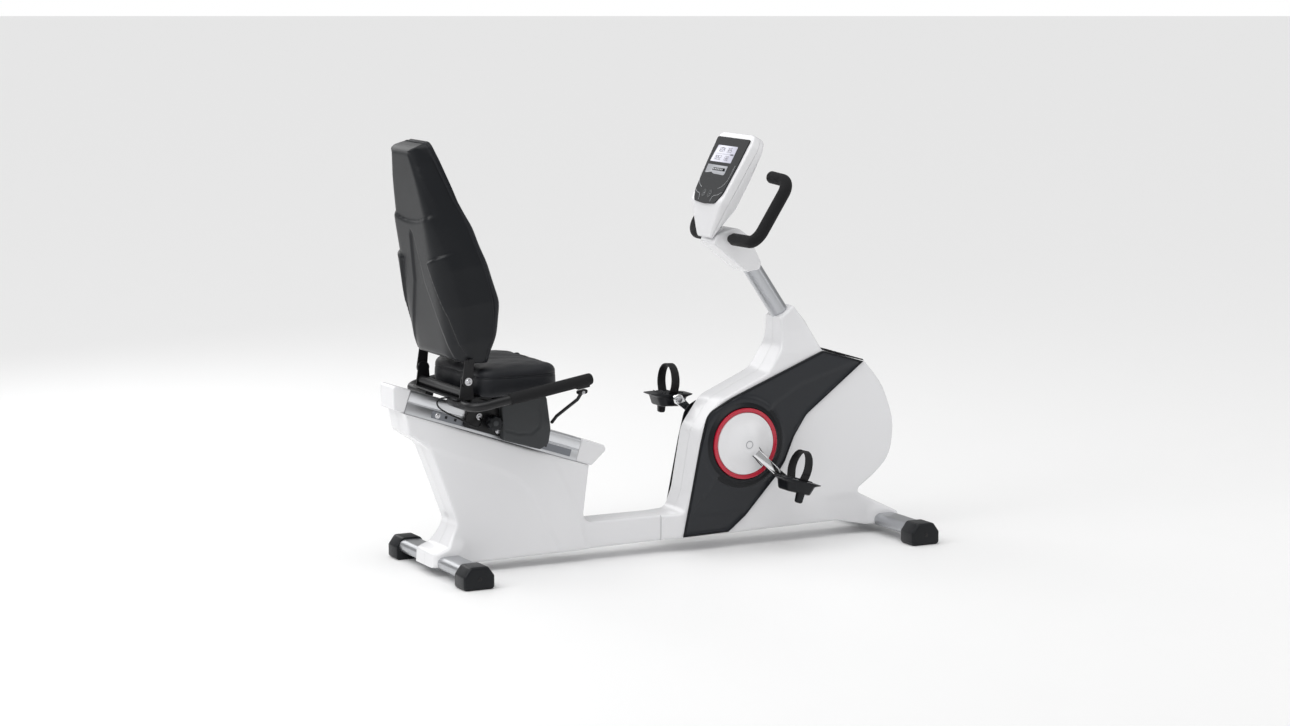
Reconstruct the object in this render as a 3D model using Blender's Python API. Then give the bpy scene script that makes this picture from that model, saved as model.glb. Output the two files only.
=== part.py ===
"""Recumbent exercise bike with a sliding seat, built as separate named parts.

+X is forward (the way the rider faces), +Z is up and the rider's right-hand side is -Y.
The origin is on the floor, under the middle of the bike.
"""

import math

import bmesh
import bpy
from mathutils import Vector

# ---------------------------------------------------------------- driving dimensions (metres, degrees)
GAP = 0.0003
REAR_END_X = -0.8587
FRONT_END_X = 0.8587

FOOT_LENGTH = 0.0974
FOOT_WIDTH = 0.0719
FOOT_HEIGHT = 0.068
REAR_FOOT_SPAN = 0.577
FRONT_FOOT_SPAN = 0.638
REAR_FOOT_X = -0.692
FRONT_FOOT_X = FRONT_END_X - FOOT_LENGTH / 2
STABILISER_HALF = (0.040, 0.020)
STABILISER_Z = 0.042

BEAM_BOTTOM = 0.0623
BEAM_TOP = 0.0885
BEAM_HALF_WIDTH = 0.025

COVER_SEAM_X = 0.0206
SHELL_WALL = 0.0025
PEDESTAL_HALF_WIDTH = 0.065
HOUSING_HALF_WIDTH = 0.070
BEAM_COVER_HALF_WIDTH = 0.056
SHELL_EDGE = 0.009

CRANK_X = 0.294
CRANK_Z = 0.325
CRANK_LENGTH = 0.170
CRANK_ANGLE = 43.8
CRANK_FLARE = 0.13
CRANK_ROOT_Y = 0.0917
CRANK_THICKNESS = 0.015
RING_RADIUS = 0.1102
DISC_RADIUS = 0.0987
DISC_FACE_Y = 0.0934
PEDAL_TILT = {"right": 16.0, "left": 3.0}

PULLEY_Y = -0.035
PULLEY_RADIUS = 0.100
FLYWHEEL_X = 0.660
FLYWHEEL_Z = 0.335
FLYWHEEL_RADIUS = 0.130
FLYWHEEL_PULLEY_RADIUS = 0.0160

RAIL_ANGLE = 18.5
RAIL_START_X = -0.800
RAIL_LENGTH = 0.585
RAIL_DEPTH = 0.070
RAIL_HALF_WIDTH = 0.0485
RAIL_REAR_TOP_Z = 0.580

COLUMN_TOP = (0.338, 0.0, 0.895)
COLUMN_BOTTOM = (0.510, 0.0, 0.6444)
COLUMN_HALF = (0.0275, 0.034)

HINGE = (-0.672, 0.0, 0.594)
BACKREST_LEAN = -9.6
HANDLEBAR_AXIS = (0.264, 0.0, 0.955)
CONSOLE_PIVOT = (0.238, 0.0, 0.993)
CONSOLE_TILT = 28.8

REAR_COVER_WIDTHS = [(-0.300, PEDESTAL_HALF_WIDTH), (-0.215, BEAM_COVER_HALF_WIDTH)]
HOUSING_WIDTHS = [(0.030, BEAM_COVER_HALF_WIDTH), (0.090, HOUSING_HALF_WIDTH)]
NECK_TAPER = [(0.598, 1.0), (0.660, 0.76), (0.715, 0.66)]
HANDLE_Y = 0.250
HANDLE_TUBE = 0.0135
HANDLE_PATH_REAR = (-0.688, 0.526)
HANDLE_PATH_FRONT = (-0.318, 0.5885)
BACKREST_HALF_WIDTHS = [
    (0.064, 0.190), (0.110, 0.205), (0.220, 0.207), (0.330, 0.194), (0.450, 0.165), (0.560, 0.132), (0.640, 0.104),
]
BACKREST_TOP = 0.6950
BACKREST_BACK = -0.013
BACKREST_SPLIT = [
    (0.06, 0.064), (0.12, 0.086), (0.21, 0.102), (0.30, 0.098), (0.43, 0.080), (0.56, 0.062), (0.70, 0.040)
]
BACKREST_FRONT = [
    (0.06, 0.080), (0.12, 0.108), (0.21, 0.134), (0.34, 0.121), (0.43, 0.110), (0.54, 0.080), (0.70, 0.052)
]
CONSOLE_FRONT_X = -0.070
CONSOLE_SPLIT_X = -0.044
CHIN_TOP = 0.050
CONSOLE_REAR = [(-0.0485, -0.0105), (0.0, -0.0140), (CHIN_TOP, -0.0100), (0.160, -0.0140), (0.290, -0.0260)]
DISPLAY_Y = 0.014
BUTTON_HEIGHT = 0.0745
BUTTON_HALF = (0.0115, 0.0130)
BUTTON_PLACES = {"minus": -0.012, "plus": 0.024}

SIDES = {"right": -1.0, "left": 1.0}


# ---------------------------------------------------------------- materials
def material(name, colour, roughness, metallic=0.0):
    made = bpy.data.materials.new(name)
    made.use_nodes = True
    shader = made.node_tree.nodes["Principled BSDF"]
    shader.inputs["Base Color"].default_value = (*colour, 1.0)
    shader.inputs["Roughness"].default_value = roughness
    shader.inputs["Metallic"].default_value = metallic
    return made


def make_materials():
    return {
        "white": material("white_plastic", (0.82, 0.82, 0.86), 0.28),
        "anthracite": material("anthracite_plastic", (0.045, 0.050, 0.060), 0.22),
        "black": material("black_plastic", (0.020, 0.020, 0.022), 0.45),
        "red": material("red_plastic", (0.50, 0.012, 0.04), 0.30),
        "chrome": material("chrome", (0.85, 0.86, 0.88), 0.08, 1.0),
        "aluminium": material("aluminium", (0.72, 0.73, 0.75), 0.30, 1.0),
        "silver": material("silver_paint", (0.42, 0.43, 0.46), 0.30, 0.8),
        "steel": material("black_steel", (0.030, 0.030, 0.032), 0.40, 0.3),
        "iron": material("cast_iron", (0.10, 0.10, 0.11), 0.55, 0.9),
        "grey": material("grey_plastic", (0.060, 0.066, 0.070), 0.55),
        "foam": material("foam_grip", (0.022, 0.022, 0.024), 0.85),
        "leather": material("black_leatherette", (0.018, 0.018, 0.020), 0.45),
        "rubber": material("rubber", (0.015, 0.015, 0.015), 0.80),
        "glass": material("display_window", (0.55, 0.56, 0.66), 0.15),
        "board": material("circuit_board", (0.02, 0.12, 0.05), 0.50),
    }


# ---------------------------------------------------------------- outlines
def rounded(corners, step=26.0):
    """Closed outline of (a, b, radius) corners, each corner replaced by an arc."""
    outline = []
    for index, (a, b, radius) in enumerate(corners):
        here = Vector((a, b))
        before = Vector(corners[index - 1][:2])
        after = Vector(corners[(index + 1) % len(corners)][:2])
        to_before = (before - here).normalized()
        to_after = (after - here).normalized()
        half = to_before.angle(to_after) / 2
        turn = math.pi - 2 * half
        if radius <= 0 or turn < 0.02:
            outline.append((a, b))
            continue
        centre = here + (to_before + to_after).normalized() * (radius / math.sin(half))
        first = here + to_before * (radius / math.tan(half)) - centre
        sign = 1.0 if (here - before).cross(after - here) > 0 else -1.0
        count = max(1, round(math.degrees(turn) / step))
        for stop in range(count + 1):
            angle = sign * turn * stop / count
            cos, sin = math.cos(angle), math.sin(angle)
            outline.append(
                (centre.x + first.x * cos - first.y * sin, centre.y + first.x * sin + first.y * cos)
            )
    return outline


def inset(outline, distance):
    """The outline moved inwards by distance."""
    count = len(outline)
    area = sum(
        outline[i - 1][0] * outline[i][1] - outline[i][0] * outline[i - 1][1] for i in range(count)
    )
    sign = 1.0 if area > 0 else -1.0
    moved = []
    for index, (a, b) in enumerate(outline):
        here = Vector((a, b))
        into = (here - Vector(outline[index - 1])).normalized()
        out = (Vector(outline[(index + 1) % count]) - here).normalized()
        normal_in = Vector((-into.y, into.x)) * sign
        normal_out = Vector((-out.y, out.x)) * sign
        middle = (normal_in + normal_out).normalized()
        shift = middle * (distance / max(0.4, middle.dot(normal_in)))
        moved.append((here.x + shift.x, here.y + shift.y))
    return moved


def stadium(half_a, half_b, grow=0.0, step=30.0):
    a, b = half_a + grow, half_b + grow
    radius = min(a, b) * 0.96
    return rounded([(a, b, radius), (-a, b, radius), (-a, -b, radius), (a, -b, radius)], step)


def circle(radius, count, half_b=None):
    other = radius if half_b is None else half_b
    turns = [2 * math.pi * (stop + 0.5) / count for stop in range(count)]
    return [(radius * math.cos(turn), other * math.sin(turn)) for turn in turns]


def interpolate(table, value):
    """Straight-line interpolation in a short table of (position, result) pairs."""
    if value <= table[0][0]:
        return table[0][1]
    for (low, first), (high, second) in zip(table, table[1:]):
        if value <= high:
            return first + (second - first) * (value - low) / (high - low)
    return table[-1][1]


# ---------------------------------------------------------------- meshes from rings of points
def loft_faces(rings, closed):
    count = len(rings[0])
    faces = []
    pairs = len(rings) if closed else len(rings) - 1
    for low in range(pairs):
        high = (low + 1) % len(rings)
        for stop in range(count):
            after = (stop + 1) % count
            faces.append(
                (low * count + stop, low * count + after, high * count + after, high * count + stop)
            )
    if not closed:
        faces.append(tuple(range(count)))
        faces.append(tuple(range((len(rings) - 1) * count, len(rings) * count)))
    return faces


def loft(
    name, rings, mat, origin=(0.0, 0.0, 0.0), tilt=0.0, local=False, closed=False, sharp=32.0, bends=(), place=None
):
    """One closed body through rings of points. The object stands at origin, turned by tilt degrees about Y.

    With place, the rings are flat (a, b, depth) points: the body is first cut along its bend lines, each an
    (axis, value) pair, and place then puts every point where it belongs.
    """
    start = Vector(origin)
    shell = bmesh.new()
    verts = [shell.verts.new(point) for ring in rings for point in ring]
    for face in loft_faces(rings, closed):
        shell.faces.new([verts[index] for index in face])
    for axis, value in bends:
        normal = (1.0, 0.0, 0.0) if axis == "a" else (0.0, 1.0, 0.0)
        everything = shell.verts[:] + shell.edges[:] + shell.faces[:]
        bmesh.ops.bisect_plane(
            shell, geom=everything, dist=0.0001, plane_co=Vector(normal) * value, plane_no=normal
        )
    for vert in shell.verts:
        if place:
            vert.co = Vector(place(*vert.co))
        if not local:
            vert.co -= start
    bmesh.ops.recalc_face_normals(shell, faces=shell.faces)
    if shell.calc_volume(signed=True) < 0:
        bmesh.ops.reverse_faces(shell, faces=shell.faces)
    mesh = bpy.data.meshes.new(name)
    shell.to_mesh(mesh)
    shell.free()
    mesh.materials.append(mat)
    mesh.shade_smooth()
    mesh.set_sharp_from_angle(angle=math.radians(sharp))
    made = bpy.data.objects.new(name, mesh)
    bpy.context.scene.collection.objects.link(made)
    made.location = start
    made.rotation_euler = (0.0, math.radians(tilt), 0.0)
    return made


def boolean(target, tool, operation):
    """Cuts target with tool, or joins tool to it. The tool itself is only a guide."""
    tool.hide_render = True
    tool.display_type = "WIRE"
    modifier = target.modifiers.new(tool.name, "BOOLEAN")
    modifier.operation = operation
    modifier.solver = "EXACT"
    modifier.object = tool


def along_y(outline, levels, centre=(0.0, 0.0), side=1.0):
    """Rings of an XZ outline at (y, inset) levels."""
    return [
        [
            (centre[0] + a, side * y, centre[1] + b) for a, b in inset(outline, amount)
        ] for y, amount in levels
    ]


def prism(name, outline, low, high, mat, edge=0.0, **options):
    """An XZ outline, extruded along Y from low to high, with its end edges rounded off by edge."""
    levels = [
        (low, edge), (low + edge, 0.0), (high - edge, 0.0), (high, edge)
    ] if edge else [(low, 0.0), (high, 0.0)]
    return loft(name, along_y(outline, levels), mat, **options)


def box(name, low, high, mat, **options):
    outline = [(low[0], low[2]), (high[0], low[2]), (high[0], high[2]), (low[0], high[2])]
    return prism(name, outline, low[1], high[1], mat, **options)


def turned(name, profile, mat, count=32, centre=(0.0, 0.0, 0.0), side=1.0, ring=False, **options):
    """A (radius, y) profile turned about a line along Y. A ring profile is closed, without end faces."""
    rings = [
        [(centre[0] + a, centre[1] + side * y, centre[2] + b) for a, b in circle(radius, count)]
        for radius, y in profile
    ]
    return loft(name, rings, mat, closed=ring, **options)


def path_frames(path, up):
    """Point, sideways and upward vectors at each stop of a path."""
    frames = []
    for index, point in enumerate(path):
        before = Vector(path[max(index - 1, 0)])
        after = Vector(path[min(index + 1, len(path) - 1)])
        ahead = (after - before).normalized()
        across = ahead.cross(Vector(up)).normalized()
        frames.append((Vector(point), across, across.cross(ahead)))
    return frames


def follow(path, section, up):
    return [
        [
            point + across * a + upward * b for a, b in section
        ] for point, across, upward in path_frames(path, up)
    ]


def bent(points, radius, count=4):
    """A path through the points with each inner corner rounded by the bend radius."""
    path = [Vector(points[0])]
    for before, here, after in zip(points, points[1:], points[2:]):
        before, here, after = Vector(before), Vector(here), Vector(after)
        to_before = (before - here).normalized()
        to_after = (after - here).normalized()
        half = to_before.angle(to_after) / 2
        centre = here + (to_before + to_after).normalized() * (radius / math.sin(half))
        first = here + to_before * (radius / math.tan(half)) - centre
        last = here + to_after * (radius / math.tan(half)) - centre
        path += [
            centre + first.slerp(last, stop / count).normalized() * radius for stop in range(count + 1)
        ]
    path.append(Vector(points[-1]))
    return path


def half_shell(name, outline, depths, place, wall, mat, bottom=None, **options):
    """A cup: an outline carried through (depth, inset) levels, closed at the last one and open at the first."""
    first, last = depths[0][0], depths[-1][0]
    shrink = 1.0 - (bottom or wall) / (last - first)
    inner = [(first + (depth - first) * shrink, amount + wall) for depth, amount in depths]
    chain = inner[::-1] + depths
    rings = [[(a, b, depth) for a, b in inset(outline, amount)] for depth, amount in chain]
    return loft(name, rings, mat, place=place, **options)


# ---------------------------------------------------------------- places on the inclined rail
def rail_top(x):
    return RAIL_REAR_TOP_Z - (x - REAR_END_X) * math.tan(math.radians(RAIL_ANGLE))


RAIL_ORIGIN = (RAIL_START_X, 0.0, rail_top(RAIL_START_X))


def on_rail(along, above):
    """World x and z of a point along the rail's top line and above it."""
    cos, sin = math.cos(math.radians(RAIL_ANGLE)), math.sin(math.radians(RAIL_ANGLE))
    return RAIL_ORIGIN[0] + along * cos + above * sin, RAIL_ORIGIN[2] - along * sin + above * cos


def turned_point(centre, angle, length):
    turn = math.radians(angle)
    return centre[0] + length * math.cos(turn), centre[1] - length * math.sin(turn)


# ---------------------------------------------------------------- frame
def rectangle_tube(name, low, high, wall, mat):
    """A hollow box tube that runs along X from low to high."""
    def rings(shrink):
        section = [
            (low[1] + shrink, low[2] + shrink),
            (high[1] - shrink, low[2] + shrink),
            (high[1] - shrink, high[2] - shrink),
            (low[1] + shrink, high[2] - shrink),
        ]
        return [[(x, y, z) for y, z in section] for x in (low[0], high[0])]
    return loft(name, rings(0.0) + rings(wall)[::-1], mat, closed=True)


def upright(name, low_x, high_x, half_y, bottom, tops, wall, mat):
    """A hollow post with its top cut at the two heights in tops."""
    def ring(shrink, at_top):
        corners = [(low_x + shrink, half_y - shrink), (high_x - shrink, half_y - shrink)]
        corners += [(high_x - shrink, shrink - half_y), (low_x + shrink, shrink - half_y)]
        cut = [(low_x, tops[0]), (high_x, tops[1])]
        return [(x, y, interpolate(cut, x) if at_top else bottom) for x, y in corners]
    rings = [ring(0.0, False), ring(0.0, True), ring(wall, True), ring(wall, False)]
    return loft(name, rings, mat, closed=True)


def make_frame(mats):
    beam = rectangle_tube(
        "main_frame", (
            -0.668, -BEAM_HALF_WIDTH, BEAM_BOTTOM
        ), (0.790, BEAM_HALF_WIDTH, BEAM_TOP), 0.002, mats["steel"]
    )
    foot = BEAM_TOP - 0.001
    under_rail = [on_rail(along, -RAIL_DEPTH - GAP) for along in (0.2925, 0.3450)]
    slope = (under_rail[1][1] - under_rail[0][1]) / (under_rail[1][0] - under_rail[0][0])
    rear_tops = [under_rail[0][1] + slope * (x - under_rail[0][0]) for x in (-0.525, -0.475)]
    pieces = [
        upright("rear_upright", -0.525, -0.475, 0.020, foot, rear_tops, 0.002, mats["steel"]),
        upright(
            "crank_post", CRANK_X - 0.022, CRANK_X + 0.022, 0.014, foot, [0.3010, 0.3010], 0.002,
            mats["steel"]
        ),
        upright("column_post", 0.480, 0.520, 0.018, foot, [0.6130, 0.6405], 0.002, mats["steel"]),
    ]
    down = (Vector(COLUMN_BOTTOM) - Vector(COLUMN_TOP)).normalized()
    socket_path = [Vector(COLUMN_BOTTOM) - down * 0.045, Vector(COLUMN_BOTTOM) + down * 0.022]
    outer = follow(socket_path, circle(COLUMN_HALF[1] + 0.0035, 20, COLUMN_HALF[0] + 0.0035), (0, 0, 1))
    inner = follow(socket_path, circle(COLUMN_HALF[1] + 0.0006, 20, COLUMN_HALF[0] + 0.0006), (0, 0, 1))
    pieces.append(loft("column_socket", outer + inner[::-1], mats["steel"], closed=True))
    fork = [(0.612, foot), (0.708, foot), (0.690, 0.355), (0.630, 0.355)]
    for side_name, low in (("right", -0.0620), ("left", 0.0460)):
        plate = prism("flywheel_fork_" + side_name, fork, low, low + 0.004, mats["steel"])
        pieces.append(plate)
        foot_low, foot_high = sorted((low + 0.002, math.copysign(BEAM_HALF_WIDTH - 0.002, low)))
        pieces.append(
            box("fork_foot_" + side_name, (0.620, foot_low, foot), (0.700, foot_high, foot + 0.006), mats["steel"])
        )
    for piece in pieces:
        boolean(beam, piece, "UNION")
    holes = turned(
        "fork_hole", [(0.0088, -0.08), (0.0088, 0.08)], mats["steel"], 12, (FLYWHEEL_X, 0, FLYWHEEL_Z)
    )
    boolean(beam, holes, "DIFFERENCE")
    bracket = [(0.0104, -0.016), (0.0235, -0.016), (0.0235, 0.044), (0.0104, 0.044)]
    turned("bottom_bracket", bracket, mats["steel"], 16, (CRANK_X, 0, CRANK_Z), ring=True)
    column_path = [Vector(COLUMN_BOTTOM), Vector(COLUMN_TOP)]
    outside = follow(column_path, circle(COLUMN_HALF[1], 24, COLUMN_HALF[0]), (0, 0, 1))
    inside = follow(column_path, circle(COLUMN_HALF[1] - 0.0025, 24, COLUMN_HALF[0] - 0.0025), (0, 0, 1))
    loft("column_tube", outside + inside[::-1], mats["silver"], closed=True)


def make_feet(mats):
    top = FOOT_HEIGHT
    half = FOOT_LENGTH / 2
    block = rounded(
        [(-half, 0.0, 0.010), (half, 0.0, 0.010), (half, 0.040, 0.010), (half * 0.58, top, 0.012),
         (-half * 0.58, top, 0.012), (-half, 0.040, 0.010)]
    )
    for end, x, span in (("rear", REAR_FOOT_X, REAR_FOOT_SPAN), ("front", FRONT_FOOT_X, FRONT_FOOT_SPAN)):
        inner_y = span / 2 - FOOT_WIDTH
        for side_name, side in SIDES.items():
            levels = [
                (inner_y, 0.002), (inner_y + 0.002, 0.0), (span / 2 - 0.006, 0.0),
                (span / 2 - 0.0015, 0.003)
            ]
            levels.append((span / 2, 0.0065))
            loft(f"foot_cap_{end}_{side_name}", along_y(block, levels, (x, 0.0), side), mats["black"])
        reach = inner_y - GAP
        rings = [
            [(x + a, y, STABILISER_Z + b) for a, b in stadium(*STABILISER_HALF, grow)]
            for grow, y in ((0.0, -reach), (0.0, reach), (-0.002, reach), (-0.002, -reach))
        ]
        loft(f"{end}_stabiliser", rings, mats["silver"], closed=True)


# ---------------------------------------------------------------- white covers
def rear_cover_width(x):
    return interpolate(REAR_COVER_WIDTHS, x)


def housing_width(x, z):
    return interpolate(HOUSING_WIDTHS, x) * interpolate(NECK_TAPER, z)


def rear_cover_outline():
    rear_x, front_x = -0.829, -0.222
    below = RAIL_DEPTH / math.cos(math.radians(RAIL_ANGLE)) + 2 * GAP
    return rounded(
        [
            (rear_x, rail_top(rear_x) - below, 0.0),
            (-0.817, 0.433, 0.016),
            (-0.750, 0.388, 0.040),
            (-0.716, 0.300, 0.10),
            (-0.660, 0.150, 0.035),
            (-0.698, 0.084, 0.020),
            (-0.741, 0.069, 0.0125),
            (-0.7445, 0.028, 0.0),
            (COVER_SEAM_X - GAP, 0.040, 0.0),
            (COVER_SEAM_X - GAP, 0.118, 0.0),
            (-0.246, 0.118, 0.030),
            (front_x, rail_top(front_x) - below, 0.0),
        ]
    )


def housing_outline():
    return rounded(
        [
            (COVER_SEAM_X + GAP, 0.040, 0.0),
            (0.640, 0.050, 0.040),
            (0.742, 0.028, 0.0),
            (0.8572, 0.028, 0.0),
            (0.8572, 0.062, 0.0125),
            (0.703, 0.139, 0.012),
            (0.770, 0.186, 0.030),
            (0.830, 0.240, 0.050),
            (0.845, 0.352, 0.120),
            (0.800, 0.475, 0.110),
            (0.736, 0.548, 0.013),
            (0.579, 0.596, 0.012),
            (0.530, 0.692, 0.060),
            (0.4965, 0.742, 0.0),
            (0.4465, 0.708, 0.0),
            (0.444, 0.618, 0.090),
            (0.390, 0.538, 0.060),
            (0.215, 0.462, 0.080),
            (0.150, 0.372, 0.100),
            (0.116, 0.180, 0.100),
            (0.092, 0.118, 0.028),
            (COVER_SEAM_X + GAP, 0.118, 0.0),
        ],
        24.0,
    )


def make_covers(mats):
    depths = [(0.0, 0.0), (0.85, 0.0), (0.96, SHELL_EDGE * 0.3), (1.0, SHELL_EDGE)]
    bottom = SHELL_WALL / HOUSING_HALF_WIDTH
    tool_levels = [(-0.12, 0.0), (0.12, 0.0)]
    beam_tool = box("beam_passage", (-0.05, -0.0265, 0.058), (0.10, 0.0265, 0.093), mats["white"])
    upright_tool = box("upright_passage", (-0.5275, -0.0225, 0.34), (-0.4725, 0.0225, 0.45), mats["white"])
    tube = stadium(*STABILISER_HALF, 0.0006)
    rear_tool = loft(
        "rear_tube_passage", along_y(tube, tool_levels, (REAR_FOOT_X, STABILISER_Z)), mats["white"]
    )
    front_tool = loft(
        "front_tube_passage", along_y(tube, tool_levels, (FRONT_FOOT_X, STABILISER_Z)), mats["white"]
    )
    axle_hole = [(0.032, -0.1), (0.032, 0.1)]
    axle_tool = turned("axle_passage", axle_hole, mats["white"], 20, (CRANK_X, 0, CRANK_Z))
    neck_path = [Vector((0.5400, 0.0, 0.6007)), Vector((0.4000, 0.0, 0.8046))]
    neck_section = circle(COLUMN_HALF[1] + 0.0008, 24, COLUMN_HALF[0] + 0.0008)
    neck_tool = loft("column_passage", follow(neck_path, neck_section, (0, 0, 1)), mats["white"])
    for side_name, side in SIDES.items():
        def rear_place(x, z, depth, side=side):
            return x, side * (GAP / 2 + depth * rear_cover_width(x)), z

        def front_place(x, z, depth, side=side):
            return x, side * (GAP / 2 + depth * housing_width(x, z)), z

        rear = half_shell(
            "rear_cover_" + side_name, rear_cover_outline(), depths, rear_place, SHELL_WALL, mats["white"], bottom,
            bends=[("a", x) for x, _ in REAR_COVER_WIDTHS],
        )
        front = half_shell(
            "housing_" + side_name, housing_outline(), depths, front_place, SHELL_WALL, mats["white"], bottom,
            bends=[("a", x) for x, _ in HOUSING_WIDTHS] + [("b", z) for z, _ in NECK_TAPER],
        )
        for tool in (beam_tool, upright_tool, rear_tool):
            boolean(rear, tool, "DIFFERENCE")
        for tool in (beam_tool, front_tool, axle_tool, neck_tool):
            boolean(front, tool, "DIFFERENCE")


def accent_outline():
    return rounded(
        [
            (0.088, 0.046, 0.0),
            (0.244, 0.0495, 0.010),
            (0.304, 0.096, 0.030),
            (0.408, 0.207, 0.050),
            (0.443, 0.255, 0.060),
            (0.476, 0.333, 0.060),
            (0.519, 0.397, 0.060),
            (0.724, 0.551, 0.0),
            (0.576, 0.5935, 0.0),
            (0.256, 0.468, 0.080),
            (0.170, 0.425, 0.060),
            (0.146, 0.330, 0.090),
        ]
    )


def make_accents(mats):
    inner, outer = HOUSING_HALF_WIDTH + 2 * GAP, HOUSING_HALF_WIDTH + 0.0048
    rim = [
        (0.1115, inner + 0.001), (0.1115, 0.0885), (0.1135, 0.0900), (0.1180, 0.0870), (0.1265, 0.0790),
        (0.1350, 0.0790), (0.1400, 0.0765), (0.1405, inner + 0.001),
    ]
    for side_name, side in SIDES.items():
        levels = [(inner, 0.0), (outer - 0.0012, 0.0), (outer, 0.0012)]
        panel = loft(
            "accent_panel_" + side_name, along_y(accent_outline(), levels, (0.0, 0.0), side),
            mats["anthracite"]
        )
        hole_levels = [(0.125, 0.05), (0.125, 0.12)]
        centre = (CRANK_X, 0.0, CRANK_Z)
        hole = turned("disc_opening_" + side_name, hole_levels, mats["anthracite"], 36, centre, side)
        boolean(panel, hole, "DIFFERENCE")
        lip = turned("bezel_" + side_name, rim, mats["anthracite"], 36, centre, side, ring=True)
        boolean(panel, lip, "UNION")
    make_vent(mats)


def make_vent(mats):
    """Ribbed strip across the top of the housing, between the two accent panels."""
    rear, front = Vector((0.584, 0.5958)), Vector((0.727, 0.5522))
    ahead = (front - rear).normalized()
    above = Vector((-ahead.y, ahead.x))
    ribs = 9
    pitch = (front - rear).length / ribs
    lower = [rear + above * 0.0006, front + above * 0.0006]
    upper = []
    for rib in range(ribs):
        start = rear + ahead * (pitch * rib)
        upper += [start + above * 0.0026, start + ahead * pitch * 0.12 + above * 0.0046]
        upper += [
            start + ahead * pitch * 0.62 + above * 0.0046, start + ahead * pitch * 0.74 + above * 0.0026
        ]
    outline = [tuple(point) for point in lower + upper[::-1]]
    prism("top_vent", outline, -HOUSING_HALF_WIDTH - 0.0045, HOUSING_HALF_WIDTH + 0.0045, mats["black"])


# ---------------------------------------------------------------- drive
def make_drive(mats):
    centre = (CRANK_X, 0.0, CRANK_Z)
    axle_end = CRANK_ROOT_Y - 0.0025
    axle = [
        (0.0090, -axle_end), (0.0100, -axle_end + 0.001), (0.0100, axle_end - 0.001), (0.0090, axle_end)
    ]
    turned("crank_axle", axle, mats["steel"], 16, centre, origin=centre)
    pulley = [
        (0.0104, -0.009), (0.0860, -0.004), (0.0880, -0.009), (PULLEY_RADIUS, -0.009),
        (PULLEY_RADIUS, 0.009), (0.0880, 0.009), (0.0860, 0.004), (0.0104, 0.009),
    ]
    at_pulley = (CRANK_X, PULLEY_Y, CRANK_Z)
    turned("drive_pulley", pulley, mats["black"], 28, at_pulley, ring=True, origin=centre)
    for side_name, side in SIDES.items():
        angle = CRANK_ANGLE + (0.0 if side < 0 else 180.0)
        make_crank_arm(side_name, side, angle, mats)
        make_crank_disc(side_name, side, angle, mats)
    make_belt(mats)
    make_flywheel(mats)


def crank_arm_outline(grow=0.0):
    """Rounded root boss, slim middle and round pedal eye, along local X."""
    root, eye = 0.0205 + grow, 0.0165 + grow
    points = []
    for stop in range(9):
        turn = math.radians(60 + 240 * stop / 8)
        points.append((root * math.cos(turn), root * math.sin(turn)))
    points += [(0.050, -0.0135 - grow), (0.130, -0.0122 - grow)]
    for stop in range(9):
        turn = math.radians(-120 + 240 * stop / 8)
        points.append((CRANK_LENGTH + eye * math.cos(turn), eye * math.sin(turn)))
    points += [(0.130, 0.0122 + grow), (0.050, 0.0135 + grow)]
    return points


def make_crank_arm(side_name, side, angle, mats):
    outline = crank_arm_outline()
    edge = 0.0022
    levels = [(0.0, edge), (edge, 0.0), (CRANK_THICKNESS - edge, 0.0), (CRANK_THICKNESS, edge)]
    rings = [
        [(a, side * (CRANK_ROOT_Y + depth + CRANK_FLARE * a), b) for a, b in inset(outline, amount)]
        for depth, amount in levels
    ]
    centre = (CRANK_X, 0.0, CRANK_Z)
    arm = loft("crank_arm_" + side_name, rings, mats["chrome"], centre, angle, local=True)
    eye_x, eye_z = turned_point((CRANK_X, CRANK_Z), angle, CRANK_LENGTH)
    spindle = [(0.0070, 0.122), (0.0070, 0.2340)]
    pin = turned("pedal_spindle_" + side_name, spindle, mats["steel"], 12, (eye_x, 0.0, eye_z), side)
    boolean(arm, pin, "UNION")


def make_crank_disc(side_name, side, angle, mats):
    centre = (CRANK_X, 0.0, CRANK_Z)
    face = DISC_FACE_Y
    rim = [
        (DISC_RADIUS + 2 * GAP, face - 0.015), (RING_RADIUS, face - 0.015), (RING_RADIUS, face - 0.0012),
        (RING_RADIUS - 0.0015, face), (DISC_RADIUS + 0.0018, face), (DISC_RADIUS + 2 * GAP, face - 0.0012),
    ]
    turned("crank_ring_" + side_name, rim, mats["red"], 40, centre, side, ring=True, origin=centre)
    outside = [
        (DISC_RADIUS, face - 0.014), (DISC_RADIUS, face - 0.0010), (DISC_RADIUS - 0.002, face + 0.0006),
        (0.070, face + 0.0051), (0.045, face + 0.0151), (0.030, face + 0.0208), (0.012, face + 0.0228),
    ]
    inside = [
        (0.012, face + 0.0204), (0.030, face + 0.0184), (0.045, face + 0.0127), (0.070, face + 0.0028)
    ]
    inside += [(DISC_RADIUS - 0.0026, face - 0.0016), (DISC_RADIUS - 0.0026, face - 0.014)]
    disc = turned(
        "crank_disc_" + side_name, inside + outside, mats["white"], 36, centre, side, origin=centre
    )
    slot = crank_arm_outline(0.0009)
    slot_rings = []
    for depth in (-0.0009, CRANK_THICKNESS + 0.0012):
        slot_rings.append([(a, side * (CRANK_ROOT_Y + depth + CRANK_FLARE * a), b) for a, b in slot])
    boolean(
        disc, loft("arm_slot_" + side_name, slot_rings, mats["white"], centre, angle, local=True),
        "DIFFERENCE"
    )


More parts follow.
